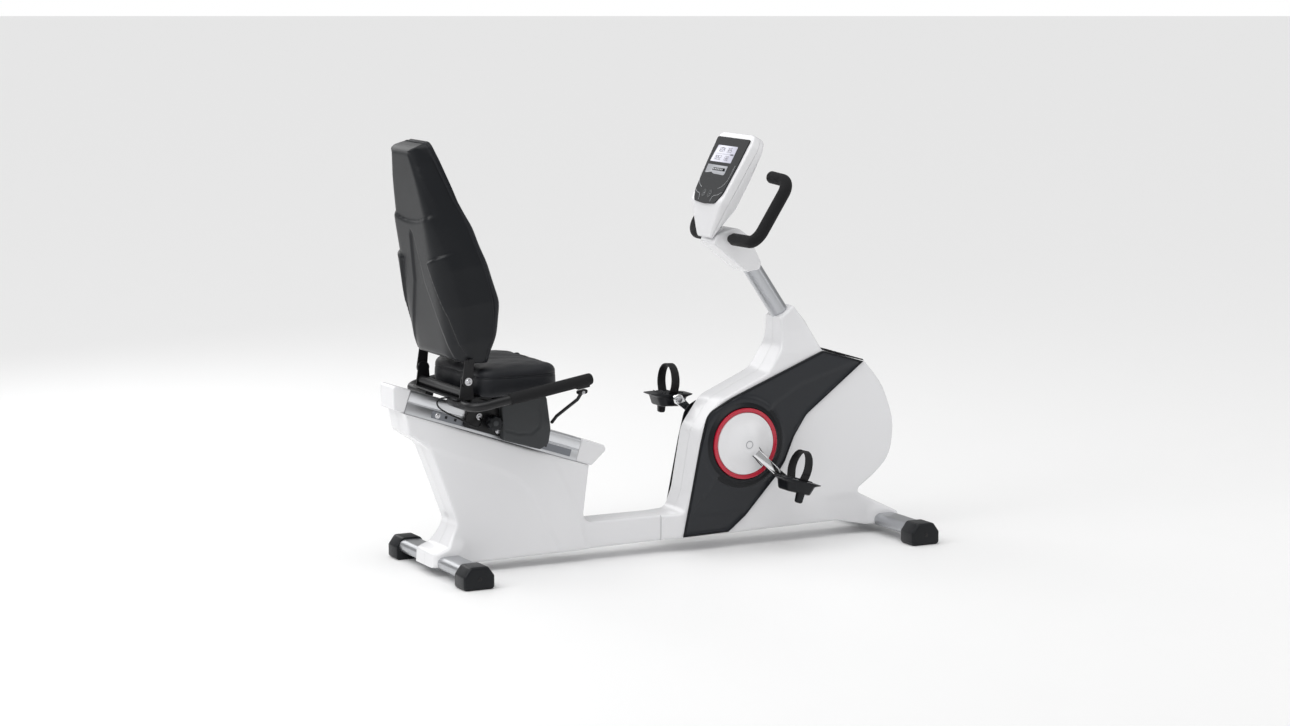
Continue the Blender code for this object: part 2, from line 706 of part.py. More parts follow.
def make_belt(mats):
    """The belt's loop: two arcs and the two straight runs between them."""
    from_x, from_z, to_x, to_z = CRANK_X, CRANK_Z, FLYWHEEL_X, FLYWHEEL_Z
    distance = math.hypot(to_x - from_x, to_z - from_z)
    heading = math.atan2(to_z - from_z, to_x - from_x)

    def ring(extra, y):
        large, small = PULLEY_RADIUS + extra, FLYWHEEL_PULLEY_RADIUS + extra
        spread = math.acos((large - small) / distance)
        points = []
        for stop in range(17):
            turn = heading + spread + (2 * math.pi - 2 * spread) * stop / 16
            points.append((from_x + large * math.cos(turn), y, from_z + large * math.sin(turn)))
        for stop in range(8):
            turn = heading - spread + 2 * spread * stop / 7
            points.append((to_x + small * math.cos(turn), y, to_z + small * math.sin(turn)))
        return points

    low, high = PULLEY_Y - 0.0075, PULLEY_Y + 0.0075
    rings = [ring(0.0012, low), ring(0.0012, high), ring(0.0034, high), ring(0.0034, low)]
    loft("drive_belt", rings, mats["rubber"], closed=True)


def make_flywheel(mats):
    centre = (FLYWHEEL_X, 0.0, FLYWHEEL_Z)
    profile = [
        (0.0080, -0.0630), (0.0080, -0.0460), (
            FLYWHEEL_PULLEY_RADIUS, -0.0455
        ), (FLYWHEEL_PULLEY_RADIUS, -0.0245),
        (0.0220, -0.0200), (0.0220, -0.0040), (0.1000, -0.0040), (0.1050, -0.0070), (FLYWHEEL_RADIUS, -0.0070),
        (FLYWHEEL_RADIUS, 0.0230), (0.1050, 0.0230), (0.1000, 0.0200), (0.0220, 0.0200), (0.0080, 0.0400),
        (0.0080, 0.0510),
    ]
    turned("flywheel", profile, mats["iron"], 28, centre, origin=centre)
    legs = [(0.742, -0.018), (0.796, -0.018), (0.796, 0.034), (0.742, 0.034)]
    legs += [(0.742, 0.0265), (0.785, 0.0265), (0.785, -0.0105), (0.742, -0.0105)]
    rings = [[(x - shift, y, z) for x, y in legs] for shift, z in ((0.0, 0.385), (0.022, 0.425))]
    loft("brake_magnet", rings, mats["steel"])


# ---------------------------------------------------------------- pedals
def make_pedals(mats):
    for side_name, side in SIDES.items():
        angle = CRANK_ANGLE + (0.0 if side < 0 else 180.0)
        x, z = turned_point((CRANK_X, CRANK_Z), angle, CRANK_LENGTH)
        origin = (x, 0.0, z)
        tilt = PEDAL_TILT[side_name]
        plate = [
            (-0.079, 0.010), (-0.046, -0.003), (-0.036, -0.020), (0.036, -0.020), (0.046, -0.003), (0.079, 0.010),
            (0.044, 0.014), (-0.044, 0.014),
        ]
        levels = [
            (0.1440, 0.60), (0.1560, 0.95), (0.1640, 1.0), (0.2180, 1.0), (0.2280, 0.90), (0.2400, 0.62)
        ]
        rings = [[(a * scale, side * y, b) for a, b in plate] for y, scale in levels]
        body = loft("pedal_" + side_name, rings, mats["black"], origin, tilt, local=True)
        weight = rounded(
            [(-0.013, -0.016, 0), (-0.010, -0.056, 0.006), (0.010, -0.056, 0.006), (0.013, -0.016, 0)]
        )
        lump = loft(
            "pedal_weight_" + side_name, along_y(weight, [(0.2230, 0.0), (0.2385, 0.0)], (0, 0), side),
            mats["black"], origin, tilt, local=True,
        )
        boolean(body, lump, "UNION")
        hole = turned(
            "spindle_hole_" + side_name, [
                (0.0078, 0.13), (0.0078, 0.2350)
            ], mats["black"], 12, (0, 0, 0), side,
            origin=origin, tilt=tilt, local=True,
        )
        boolean(body, hole, "DIFFERENCE")
        make_strap(side_name, side, origin, tilt, mats)


def make_strap(side_name, side, origin, tilt, mats):
    """A band over the foot, from the pedal's inner edge to its outer edge."""
    route = [
        (0.1530, 0.0145, 0.019), (0.1440, 0.0380, 0.019), (0.1440, 0.0600, 0.018), (0.1530, 0.0820, 0.016),
        (0.1700, 0.0980, 0.015), (0.1920, 0.1040, 0.014), (0.2140, 0.0980, 0.015), (0.2310, 0.0820, 0.016),
        (0.2390, 0.0600, 0.018), (0.2390, 0.0380, 0.019), (0.2300, 0.0145, 0.019),
    ]
    thickness = 0.003
    middle = Vector((0.1920, 0.045))
    rings = []
    for y, z, half_width in route:
        inward = (middle - Vector((y, z))).normalized() * thickness
        low, high = (y, z), (y + inward.x, z + (inward.y if z > 0.03 else 0.0))
        rings.append(
            [(-half_width, side * low[0], low[1]), (half_width, side * low[0], low[1]),
             (half_width, side * high[0], high[1]), (-half_width, side * high[0], high[1])]
        )
    loft("pedal_strap_" + side_name, rings, mats["rubber"], origin, tilt, local=True)


# ---------------------------------------------------------------- rail and carriage
def rail_section(shrink=0.0):
    half, deep = RAIL_HALF_WIDTH - shrink, RAIL_DEPTH - shrink
    groove = -0.034 + shrink * 0.2
    right = [
        (half - 0.010, -shrink), (half, -0.010 - shrink * 0.5), (half, groove),
        (half - 0.0035, groove - 0.002)
    ]
    right += [(half, groove - 0.004), (half, -deep)]
    return right + [(-y, h) for y, h in reversed(right)]


def make_rail(mats):
    options = {"origin": RAIL_ORIGIN, "tilt": RAIL_ANGLE, "local": True}
    rings = [[(s, y, h) for y, h in rail_section(shrink)] for shrink, s in (
        (0.0, 0.0), (0.0, RAIL_LENGTH), (0.004, RAIL_LENGTH), (0.004, 0.0))]
    loft("seat_rail", rings, mats["aluminium"], closed=True, **options)
    rear = rounded(
        [(-GAP, 0.0, 0), (-0.0619, 0.0, 0.010), (-0.0367, -RAIL_DEPTH, 0.006), (-GAP, -RAIL_DEPTH, 0)]
    )
    front = rounded(
        [(RAIL_LENGTH + GAP, -RAIL_DEPTH, 0), (0.642, -RAIL_DEPTH, 0.012), (0.676, -0.012, 0.012),
         (0.664, 0.0, 0.006), (RAIL_LENGTH + GAP, 0.0, 0)]
    )
    wide = RAIL_HALF_WIDTH + 0.0012
    levels = [(-wide, 0.005), (-wide + 0.002, 0.0015), (-wide + 0.005, 0.0)]
    levels += [(-y, amount) for y, amount in reversed(levels)]
    loft("rail_cap_rear", along_y(rear, levels), mats["white"], **options)
    loft("rail_cap_front", along_y(front, levels), mats["white"], **options)
    low_y = RAIL_HALF_WIDTH + GAP
    strip_outline = [(0.086, -0.061), (0.560, -0.061), (0.560, -0.0395), (0.086, -0.0395)]
    strip = prism("index_strip", strip_outline, -low_y - 0.003, -low_y, mats["aluminium"], **options)
    hole = 0.0042
    for number in range(12):
        s = 0.131 + 0.031 * number
        square = [(s - hole, -0.0525), (s + hole, -0.0525), (s + hole, -0.0441), (s - hole, -0.0441)]
        boolean(
            strip, prism(f"index_hole_{number}", square, -0.060, -0.040, mats["aluminium"], **options),
            "DIFFERENCE"
        )


def make_carriage(mats):
    options = {"origin": RAIL_ORIGIN, "tilt": RAIL_ANGLE, "local": True}
    out, into, top, low = 0.0605, 0.0565, 0.032, -0.060
    section = [(-out, low), (-out, top), (out, top), (out, low), (into, low), (into, top - 0.004)]
    section += [(-into, top - 0.004), (-into, low)]
    rings = [[(s, y, h) for y, h in section] for s in (0.190, 0.455)]
    channel = loft("seat_carriage", rings, mats["steel"], **options)
    first, last = on_rail(0.200, top - 0.001), on_rail(0.4480, top - 0.001)
    wedge = [first, last, (last[0] + 0.004, 0.5385), (first[0], 0.5385)]
    inner = [(first[0] + 0.06, 0.5345), (first[0] + 0.06, on_rail(0.2633, top + 0.004)[1])]
    inner += [(last[0] - 0.004, last[1] + 0.006), (last[0] - 0.001, 0.5345)]
    outer_loop = [wedge[3], wedge[0], wedge[1], wedge[2]]
    rings = [[(x, y, z) for x, z in loop] for loop, y in (
        (outer_loop, -0.045), (outer_loop, 0.045), (inner, 0.045), (inner, -0.045))]
    riser = loft("seat_riser", rings, mats["steel"], closed=True)
    boolean(channel, riser, "UNION")
    outline = rounded(
        [(-0.522, 0.3965, 0.012), (-0.401, 0.3600, 0.012), (-0.374, 0.3760, 0.014), (-0.3665, 0.4200, 0.040),
         (-0.3800, 0.5200, 0.012), (-0.470, 0.5200, 0.012), (-0.5270, 0.5000, 0.012)]
    )
    depths = [(0.0613, 0.0), (0.0840, 0.0), (0.0868, 0.0012), (0.0880, 0.0045)]
    for side_name, side in SIDES.items():
        def place(x, z, depth, side=side):
            return x, side * depth, z
        half_shell("carriage_cover_" + side_name, outline, depths, place, SHELL_WALL, mats["grey"])


def make_knob(mats):
    centre = (-0.552, 0.0, 0.452)
    profile = [
        (0.006, 0.0610), (0.006, 0.0760), (0.019, 0.0765), (0.0225, 0.0800), (0.0225, 0.0950),
        (0.0190, 0.0990)
    ]
    profile.append((0.0100, 0.1000))
    turned("clamp_knob", profile, mats["black"], 20, centre, -1.0, origin=centre)


# ---------------------------------------------------------------- seat
def handle_path(side):
    rear_x, rear_z = HANDLE_PATH_REAR
    front_x, front_z = HANDLE_PATH_FRONT
    corners = [
        (rear_x, side * 0.078, rear_z), (rear_x, side * HANDLE_Y, rear_z),
        (front_x, side * HANDLE_Y, front_z)
    ]
    return bent(corners, 0.048, 5)


def make_seat_frame(mats):
    plate = box("seat_frame", (-0.705, -0.155, 0.5390), (-0.372, 0.155, 0.5432), mats["steel"])
    tube = [(0.0140, -0.160), (0.0140, 0.160)]
    pieces = [turned("cross_tube", tube, mats["steel"], 12, (-0.676, 0.0, 0.5565))]
    ear = [turned_point((HINGE[0], HINGE[2]), -turn, 0.019) for turn in range(-20, 201, 20)]
    ear += [(-0.697, 0.5405), (-0.650, 0.5405)]
    for side_name, side in SIDES.items():
        pieces.append(
            loft("hinge_ear_" + side_name, along_y(ear, [(0.1570, 0.0), (0.1620, 0.0)], (0, 0), side), mats["steel"])
        )
        rings = follow(handle_path(side), circle(HANDLE_TUBE, 12), (0, 0, 1))
        pieces.append(loft("side_handle_" + side_name, rings, mats["steel"]))
    wing = [(-0.705, -0.162), (-0.705, 0.162), (-0.645, 0.162), (-0.645, -0.162)]
    rings = [[(x, y, z) for x, y in wing] for z in (0.5385, 0.5425)]
    pieces.append(loft("plate_wing", rings, mats["steel"]))
    for piece in pieces:
        boolean(plate, piece, "UNION")
    for side_name, side in SIDES.items():
        make_side_grip(side_name, side, mats)


def make_side_grip(side_name, side, mats):
    rear, front = Vector((HANDLE_PATH_REAR[0], HANDLE_PATH_REAR[1])), Vector(HANDLE_PATH_FRONT)
    ahead = (front - rear).normalized()

    def stop(back):
        point = front - ahead * back
        return point.x, side * HANDLE_Y, point.y

    outer = [stop(0.262), stop(0.260), stop(0.003), stop(-0.004), stop(-0.0065)]
    radii = [0.0160, 0.0175, 0.0175, 0.0165, 0.0135]
    inner = [stop(0.262), stop(-0.0015)]
    outer_rings = [follow([outer[0], outer[-1]], circle(radius, 14), (0, 0, 1))[0] for radius in radii]
    outer_rings = [
        [
            Vector(point) - Vector(outer[0]) + Vector(at) for point in ring
        ] for ring, at in zip(outer_rings, outer)
    ]
    inner_rings = follow(inner, circle(HANDLE_TUBE + 0.0006, 14), (0, 0, 1))
    loft("side_grip_" + side_name, inner_rings[::-1] + outer_rings, mats["foam"])


def make_cushion(mats):
    plan = rounded(
        [
            (-0.636, -0.190, 0.045), (-0.378, -0.190, 0.065), (-0.378, 0.190, 0.065), (-0.636, 0.190, 0.045)
        ], 22.0
    )
    levels = [(0.5440, 0.010), (0.5560, 0.0), (0.6250, 0.0), (0.6360, 0.005), (0.6420, 0.020)]
    rings = [[(x, y, z) for x, y in inset(plan, amount)] for z, amount in levels]
    loft("seat_cushion", rings, mats["leather"])


def make_lever(mats):
    head = (-0.342, -HANDLE_Y, 0.5500)
    path = bent(
        [(-0.343, -0.2500, 0.548), (-0.3520, -0.2300, 0.524), (-0.3700, -0.1300, 0.4650), (-0.3700, -0.1000, 0.442)],
        0.012, 3
    )
    rod = loft("seat_lever", follow(path, circle(0.0040, 8), (1, 0, 0)), mats["steel"], origin=head)
    block = rounded(
        [(-0.356, 0.5440, 0.004), (-0.330, 0.5470, 0.004), (-0.329, 0.5585, 0), (-0.355, 0.5550, 0)]
    )
    lump = prism("lever_head", block, -HANDLE_Y - 0.009, -HANDLE_Y + 0.009, mats["steel"], origin=head)
    boolean(rod, lump, "UNION")


def make_lock_cable(mats):
    route = [
        (-0.7056, -0.105, 0.5400), (-0.728, -0.105, 0.5400), (-0.742, -0.105, 0.5310), (-0.738, -0.105, 0.5150),
        (-0.712, -0.104, 0.4960), (-0.665, -0.100, 0.4720), (-0.630, -0.096, 0.4510), (-0.605, -0.092, 0.4450),
        (-0.592, -0.084, 0.4560), (-0.590, -0.074, 0.4640), (-0.590, -0.0612, 0.4660),
    ]
    curve = bpy.data.curves.new("lock_cable", "CURVE")
    curve.dimensions = "3D"
    curve.bevel_depth = 0.0025
    curve.bevel_resolution = 2
    curve.use_fill_caps = True
    curve.materials.append(mats["rubber"])
    points = smooth_route(route, 3)
    spline = curve.splines.new("POLY")
    spline.points.add(len(points) - 1)
    for target, point in zip(spline.points, points):
        target.co = (*point, 1.0)
    made = bpy.data.objects.new("lock_cable", curve)
    bpy.context.scene.collection.objects.link(made)


def smooth_route(route, steps):
    """Catmull-Rom curve through the route's points."""
    points = [Vector(point) for point in route]
    padded = [points[0] * 2 - points[1]] + points + [points[-1] * 2 - points[-2]]
    made = []
    for p0, p1, p2, p3 in zip(padded, padded[1:], padded[2:], padded[3:]):
        for step in range(steps):
            t = step / steps
            made.append(
                0.5 * (2 * p1 + (p2 - p0) * t + (2 * p0 - 5 * p1 + 4 * p2 - p3) * t ** 2
                       + (3 * p1 - p0 - 3 * p2 + p3) * t ** 3)
            )
    return made + [points[-1]]


# ---------------------------------------------------------------- backrest
def backrest_outline():
    right = [
        (-half, height, 0.026 if height in (0.064, 0.640) else 0.080) for height,
        half in BACKREST_HALF_WIDTHS
    ]
    crown = [(-0.078, BACKREST_TOP, 0.030)]
    left = [(-half, height, radius) for half, height, radius in reversed(right + crown)]
    return rounded(right + crown + left, 30.0)


def make_backrest(mats):
    """A dished shell with a padded front. Their levels run from 0 at the back to 1 at the split, then 2 at the front."""
    options = {"origin": HINGE, "tilt": BACKREST_LEAN, "local": True}
    outline = backrest_outline()

    def place(y, z, level):
        split, front = interpolate(BACKREST_SPLIT, z), interpolate(BACKREST_FRONT, z)
        if level <= 1.0:
            return BACKREST_BACK + (split - BACKREST_BACK) * level, y, z
        return split + (front - split) * (level - 1.0), y, z

    def rings(levels):
        return [[(y, z, level) for y, z in inset(outline, amount)] for level, amount in levels]

    bends = [("b", z) for z, _ in BACKREST_FRONT[1:-1]]
    wall = 0.007
    outer = [(1.0, 0.0), (0.35, 0.0), (0.10, 0.004), (0.0, 0.012)]
    inner = [(1.0, wall), (0.42, wall), (0.16, 0.017)]
    shell_rings = rings(inner[::-1] + outer)
    loft("backrest_shell", shell_rings, mats["black"], bends=bends, place=place, **options)
    pad = [
        (0.20, 0.020), (0.48, wall + 0.001), (1.004, wall + 0.001), (1.010, 0.001), (1.55, 0.0),
        (1.90, 0.007)
    ]
    pad += [(2.0, 0.016), (1.80, 0.023)]
    loft("backrest_pad", rings(pad), mats["leather"], bends=bends, place=place, **options)
    bar = box("backrest_bracket", (0.012, -0.172, 0.050), (0.030, 0.172, 0.0625), mats["steel"], **options)
    strap = [turned_point((0.0, 0.0), -turn, 0.018) for turn in range(160, 381, 20)]
    strap += [(0.032, 0.0620), (0.002, 0.0620)]
    for side_name, side in SIDES.items():
        levels = [(0.1650, 0.0), (0.1705, 0.0)]
        piece = loft(
            "backrest_strap_" + side_name, along_y(strap, levels, (0, 0), side), mats["steel"], **options
        )
        boolean(bar, piece, "UNION")


# ---------------------------------------------------------------- neck, handlebar and console
def make_neck(mats):
    outline = rounded(
        [(0.2045, 0.9440, 0.0), (0.338, 0.8380, 0.010), (0.386, 0.8480, 0.014), (0.3905, 0.8800, 0.016),
         (0.3330, 0.9660, 0.030), (0.2900, 0.9880, 0.030), (0.2430, 0.9790, 0.0), (0.2160, 0.9690, 0.0)]
    )
    levels = [
        (-0.047, 0.0075), (-0.0445, 0.0025), (-0.038, 0.0), (0.038, 0.0), (0.0445, 0.0025), (0.047, 0.0075)
    ]
    neck = loft("neck_cover", along_y(outline, levels), mats["white"])
    path = [
        Vector(COLUMN_TOP) + (Vector(COLUMN_TOP) - Vector(COLUMN_BOTTOM)).normalized() * 0.004,
        Vector(COLUMN_BOTTOM)
    ]
    tool = loft(
        "neck_bore", follow(path, circle(COLUMN_HALF[1] + 0.0006, 24, COLUMN_HALF[0] + 0.0006), (0, 0, 1)),
        mats["white"]
    )
    boolean(neck, tool, "DIFFERENCE")
    bore = turned("handlebar_bore", [(0.0140, -0.08), (0.0140, 0.08)], mats["white"], 16, HANDLEBAR_AXIS)
    boolean(neck, bore, "DIFFERENCE")
    x, _, z = CONSOLE_PIVOT
    for side_name, side in SIDES.items():
        ear = [turned_point((x, z), -turn, 0.0085) for turn in range(-20, 201, 20)]
        ear += [(x - 0.013, z - 0.027), (x + 0.013, z - 0.027)]
        levels = [(0.0186, 0.0), (0.0260, 0.0)]
        boolean(
            neck, loft("neck_ear_" + side_name, along_y(ear, levels, (0, 0), side), mats["white"]), "UNION"
        )
    ear_bore = turned("ear_bore", [(0.0054, -0.03), (0.0054, 0.03)], mats["white"], 12, CONSOLE_PIVOT)
    boolean(neck, ear_bore, "DIFFERENCE")
    pin = [(0.0050, -0.0275), (0.0050, 0.0275)]
    turned("console_pivot", pin, mats["steel"], 10, CONSOLE_PIVOT, origin=CONSOLE_PIVOT)


def handlebar_route(side):
    x, _, z = HANDLEBAR_AXIS
    corners = [
        (x, 0.0, z), (x, side * 0.205, z + 0.002), (0.380, side * 0.205, 1.137),
        (0.374, side * 0.104, 1.144)
    ]
    return corners


def make_handlebar(mats):
    right = bent(handlebar_route(-1.0), 0.042, 5)
    left = bent(handlebar_route(1.0), 0.042, 5)
    path = right[::-1] + left[1:]
    up = (-0.85, 0.0, 0.53)
    loft("handlebar_tube", follow(path, circle(0.0125, 12), up), mats["steel"], origin=HANDLEBAR_AXIS)
    for side_name, side in SIDES.items():
        corners = handlebar_route(side)
        x, _, z = HANDLEBAR_AXIS
        corners[0] = (x, side * 0.064, z + 0.0006)
        route = bent(corners, 0.042, 5)
        tip_step = (route[-1] - route[-2]).normalized()
        outer_path = route[:-1] + [route[-1], route[-1] + tip_step * 0.004, route[-1] + tip_step * 0.0065]
        inner_path = route[:-1] + [route[-1] + tip_step * 0.0010]
        outer = follow(outer_path, circle(0.0190, 12), up)
        for ring, scale in ((outer[-2], 0.93), (outer[-1], 0.74)):
            middle = sum(ring, Vector()) / len(ring)
            ring[:] = [middle + (point - middle) * scale for point in ring]
        inner = follow(inner_path, circle(0.0133, 12), up)
        loft("handlebar_grip_" + side_name, inner[::-1] + outer, mats["foam"], origin=HANDLEBAR_AXIS)


def console_outline():
    half = [
        (-0.042, -0.0485, 0.013), (-0.066, -0.006, 0.040), (-0.098, 0.056, 0.040), (-0.118, 0.245, 0.060)
    ]
    half.append((-0.104, 0.284, 0.026))
    return rounded(half + [(-y, z, radius) for y, z, radius in reversed(half)], 30.0)


def chin(z):
    """How far the console's lower end sweeps back towards the neck."""
    return 0.45 * max(0.0, CHIN_TOP - z)


def make_console(mats):
    options = {"origin": CONSOLE_PIVOT, "tilt": CONSOLE_TILT, "local": True}
    outline = console_outline()

    def split_x(z):
        return CONSOLE_SPLIT_X + 0.55 * chin(z)

    def front_place(y, z, level):
        front = CONSOLE_FRONT_X + chin(z)
        return split_x(z) - GAP / 2 + (front - split_x(z)) * level, y, z

    def rear_place(y, z, level):
        rear = interpolate(CONSOLE_REAR, z)
        return split_x(z) + GAP / 2 + (rear - split_x(z)) * level, y, z

    front_levels = [(0.0, 0.0), (0.77, 0.0), (0.94, 0.002), (1.0, 0.006)]
    rear_levels = [(0.0, 0.0), (0.50, 0.001), (0.84, 0.004), (1.0, 0.009)]
    bends = [("b", z) for z, _ in CONSOLE_REAR[1:-1]]
    half_shell(
        "console_front", outline, front_levels, front_place, 0.0022, mats["white"], 0.09, bends=bends,
        **options
    )
    rear = half_shell(
        "console_rear", outline, rear_levels, rear_place, 0.0022, mats["white"], 0.09, bends=bends,
        **options
    )
    web = box("console_web", (-0.020, -0.0180, -0.001), (0.003, 0.0180, 0.036), mats["white"], **options)
    barrel_turns = circle(0.0085, 14)
    rings = [[(a, y, b) for a, b in barrel_turns] for y in (-0.0180, 0.0180)]
    barrel = loft("console_barrel", rings, mats["white"], **options)
    bore = turned("pivot_bore", [(0.0054, -0.03), (0.0054, 0.03)], mats["white"], 12, (0, 0, 0), **options)
    boolean(rear, web, "UNION")
    boolean(rear, barrel, "UNION")
    boolean(rear, bore, "DIFFERENCE")
    face = CONSOLE_FRONT_X - 2 * GAP
    panel_outline = rounded(
        [(-0.064, 0.046, 0.016), (0.064, 0.046, 0.016), (0.086, 0.076, 0.030), (0.103, 0.2655, 0.006),
         (-0.103, 0.2655, 0.006), (-0.086, 0.076, 0.030)], 30.0
    )
    rings = [[(face - depth, y, z) for y, z in inset(panel_outline, amount)] for depth, amount in (
        (0.0, 0.0), (0.0020, 0.0), (0.0030, 0.0010))]
    panel = loft("console_panel", rings, mats["black"], **options)
    window = rounded([
        (DISPLAY_Y - 0.066, 0.128, 0.004),
        (DISPLAY_Y + 0.066, 0.128, 0.004),
        (DISPLAY_Y + 0.066, 0.242, 0.004),
        (DISPLAY_Y - 0.066, 0.242, 0.004),
    ])
    rings = [[(face - depth, y, z) for y, z in window] for depth in (0.0033, 0.0045)]
    loft("display_window", rings, mats["glass"], **options)
    for label, y in BUTTON_PLACES.items():
        pill = [(y + a, BUTTON_HEIGHT + b) for a, b in stadium(*BUTTON_HALF)]
        rings = [[(face - depth, a, b) for a, b in inset(pill, amount)] for depth, amount in (
            (0.0014, 0.0), (0.0044, 0.0), (0.0052, 0.0010))]
        loft("button_" + label, rings, mats["grey"], **options)
        hole = [(y + a, BUTTON_HEIGHT + b) for a, b in stadium(*BUTTON_HALF, 0.0005)]
        rings = [[(face - depth, a, b) for a, b in hole] for depth in (-0.0002, 0.006)]
        boolean(panel, loft("button_hole_" + label, rings, mats["black"], **options), "DIFFERENCE")
    box("circuit_board", (-0.0600, -0.075, 0.075), (-0.0582, 0.075, 0.240), mats["board"], **options)


def main():
    for made in list(bpy.data.objects):
        bpy.data.objects.remove(made, do_unlink=True)
    mats = make_materials()
    make_frame(mats)
    make_feet(mats)
    make_covers(mats)
    make_accents(mats)
    make_drive(mats)
    make_pedals(mats)
    make_rail(mats)
    make_carriage(mats)
    make_knob(mats)
    make_seat_frame(mats)
    make_cushion(mats)
    make_lever(mats)
    make_lock_cable(mats)
    make_backrest(mats)
    make_neck(mats)
    make_handlebar(mats)
    make_console(mats)


main()
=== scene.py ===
"""Looks of the recumbent exercise bike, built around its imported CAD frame."""

import math

import bmesh
import bpy
import numpy as np
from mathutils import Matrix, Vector
from mathutils.geometry import delaunay_2d_cdt


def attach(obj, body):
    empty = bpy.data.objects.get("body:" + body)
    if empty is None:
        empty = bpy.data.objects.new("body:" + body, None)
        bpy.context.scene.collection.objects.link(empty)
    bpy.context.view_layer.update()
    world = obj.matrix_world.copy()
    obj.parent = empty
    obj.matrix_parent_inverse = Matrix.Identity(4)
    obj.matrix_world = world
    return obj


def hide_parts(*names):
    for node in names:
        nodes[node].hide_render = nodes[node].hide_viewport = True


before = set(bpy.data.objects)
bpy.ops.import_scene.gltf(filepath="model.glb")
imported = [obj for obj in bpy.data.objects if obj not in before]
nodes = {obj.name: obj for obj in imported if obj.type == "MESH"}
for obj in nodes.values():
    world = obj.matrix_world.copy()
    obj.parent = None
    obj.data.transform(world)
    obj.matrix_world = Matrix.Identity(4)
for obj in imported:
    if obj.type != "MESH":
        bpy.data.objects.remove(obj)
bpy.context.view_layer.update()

# Metres and degrees, +X forward, -Y the rider's right, +Z up, as in the CAD frame.
HINGE = (-0.672, 0.0, 0.594)
BACKREST_LEAN = -9.6
HANDLEBAR_AXIS = (0.264, 0.0, 0.955)
CONSOLE_PIVOT = (0.238, 0.0, 0.993)
CONSOLE_TILT = 28.8
CRANK = (0.294, 0.0, 0.325)
CRANK_ANGLE = 43.8
CRANK_LENGTH = 0.170
RAIL_ANGLE = 18.5
RAIL_ORIGIN = (-0.800, 0.0, 0.5604)
RAIL_LENGTH, RAIL_HALF_WIDTH, RAIL_DEPTH = 0.585, 0.0485, 0.070
LENGTH_END = 0.8587
GAP = 0.0003
CAMERA_PLACE, CAMERA_AIM, CAMERA_LENS = (-4.345, -8.448, 1.941), (-0.007, 0.0, 0.5837), 87.82
SHALLOW_SHARE = 0.12
LONGEST_MITRE = 2.6
ROW_RISE = 0.866
MERGE = 0.00001
SEAM_X = 0.0206
SIDES = {"right": -1.0, "left": 1.0}


# ---------------------------------------------------------------- finishes
def new_finish(slot, colour, roughness, metallic=0.0, spread=0.05, tint=0.06, scale=40.0, bump=0.05,
               grain=0.0, grain_scale=900.0, coat=0.0, streak=(1.0, 1.0, 1.0), sheen=0.0, shine=0.5):
    """A material with mottled roughness, a slight tint, fine relief and, with grain, leather-like pores."""
    made = bpy.data.materials.new("finish_" + slot)
    made.use_nodes = True
    tree = made.node_tree
    shader = tree.nodes["Principled BSDF"]
    shader.inputs["Metallic"].default_value = metallic
    shader.inputs["Coat Weight"].default_value = coat
    shader.inputs["Coat Roughness"].default_value = 0.08
    shader.inputs["Sheen Weight"].default_value = sheen
    shader.inputs["Specular IOR Level"].default_value = shine

    def node(kind, **values):
        added = tree.nodes.new(kind)
        for key, value in values.items():
            added.inputs[key].default_value = value
        return added

    place = tree.nodes.new("ShaderNodeTexCoord")
    stretch = node("ShaderNodeMapping", Scale=streak)
    tree.links.new(place.outputs["Object"], stretch.inputs["Vector"])
    wide = node("ShaderNodeTexNoise", Scale=scale * 0.15, Detail=4.0, Roughness=0.6)
    fine = node("ShaderNodeTexNoise", Scale=scale * 8.0, Detail=6.0, Roughness=0.65)
    for noise in (wide, fine):
        tree.links.new(stretch.outputs["Vector"], noise.inputs["Vector"])
    mottle = tree.nodes.new("ShaderNodeMapRange")
    mottle.inputs["To Min"].default_value = max(0.02, roughness - spread)
    mottle.inputs["To Max"].default_value = min(1.0, roughness + spread)
    tree.links.new(wide.outputs["Fac"], mottle.inputs["Value"])
    tree.links.new(mottle.outputs["Result"], shader.inputs["Roughness"])
    mix = tree.nodes.new("ShaderNodeMix")
    mix.data_type = "RGBA"
    mix.inputs[6].default_value = (*[channel * (1.0 - tint) for channel in colour], 1.0)
    mix.inputs[7].default_value = (*[min(1.0, channel * (1.0 + tint)) for channel in colour], 1.0)
    tree.links.new(fine.outputs["Fac"], mix.inputs[0])
    tree.links.new(mix.outputs[2], shader.inputs["Base Color"])
    relief = node("ShaderNodeBump", Strength=bump, Distance=0.0006)
    tree.links.new(fine.outputs["Fac"], relief.inputs["Height"])
    last = relief
    if grain:
        cells = node("ShaderNodeTexVoronoi", Scale=grain_scale)
        cells.feature = "DISTANCE_TO_EDGE"
        warp = tree.nodes.new("ShaderNodeVectorMath")
        warp.operation = "SCALE"
        warp.inputs["Scale"].default_value = 0.0012
        tree.links.new(fine.outputs["Color"], warp.inputs["Vector"])
        add = tree.nodes.new("ShaderNodeVectorMath")
        tree.links.new(stretch.outputs["Vector"], add.inputs[0])
        tree.links.new(warp.outputs["Vector"], add.inputs[1])
        tree.links.new(add.outputs["Vector"], cells.inputs["Vector"])
        edges = node("ShaderNodeMapRange")
        edges.inputs["From Max"].default_value = 0.25
        tree.links.new(cells.outputs["Distance"], edges.inputs["Value"])
        pores = node("ShaderNodeBump", Strength=grain, Distance=0.0004)
        tree.links.new(edges.outputs["Result"], pores.inputs["Height"])
        tree.links.new(relief.outputs["Normal"], pores.inputs["Normal"])
        last = pores
    tree.links.new(last.outputs["Normal"], shader.inputs["Normal"])
    return made


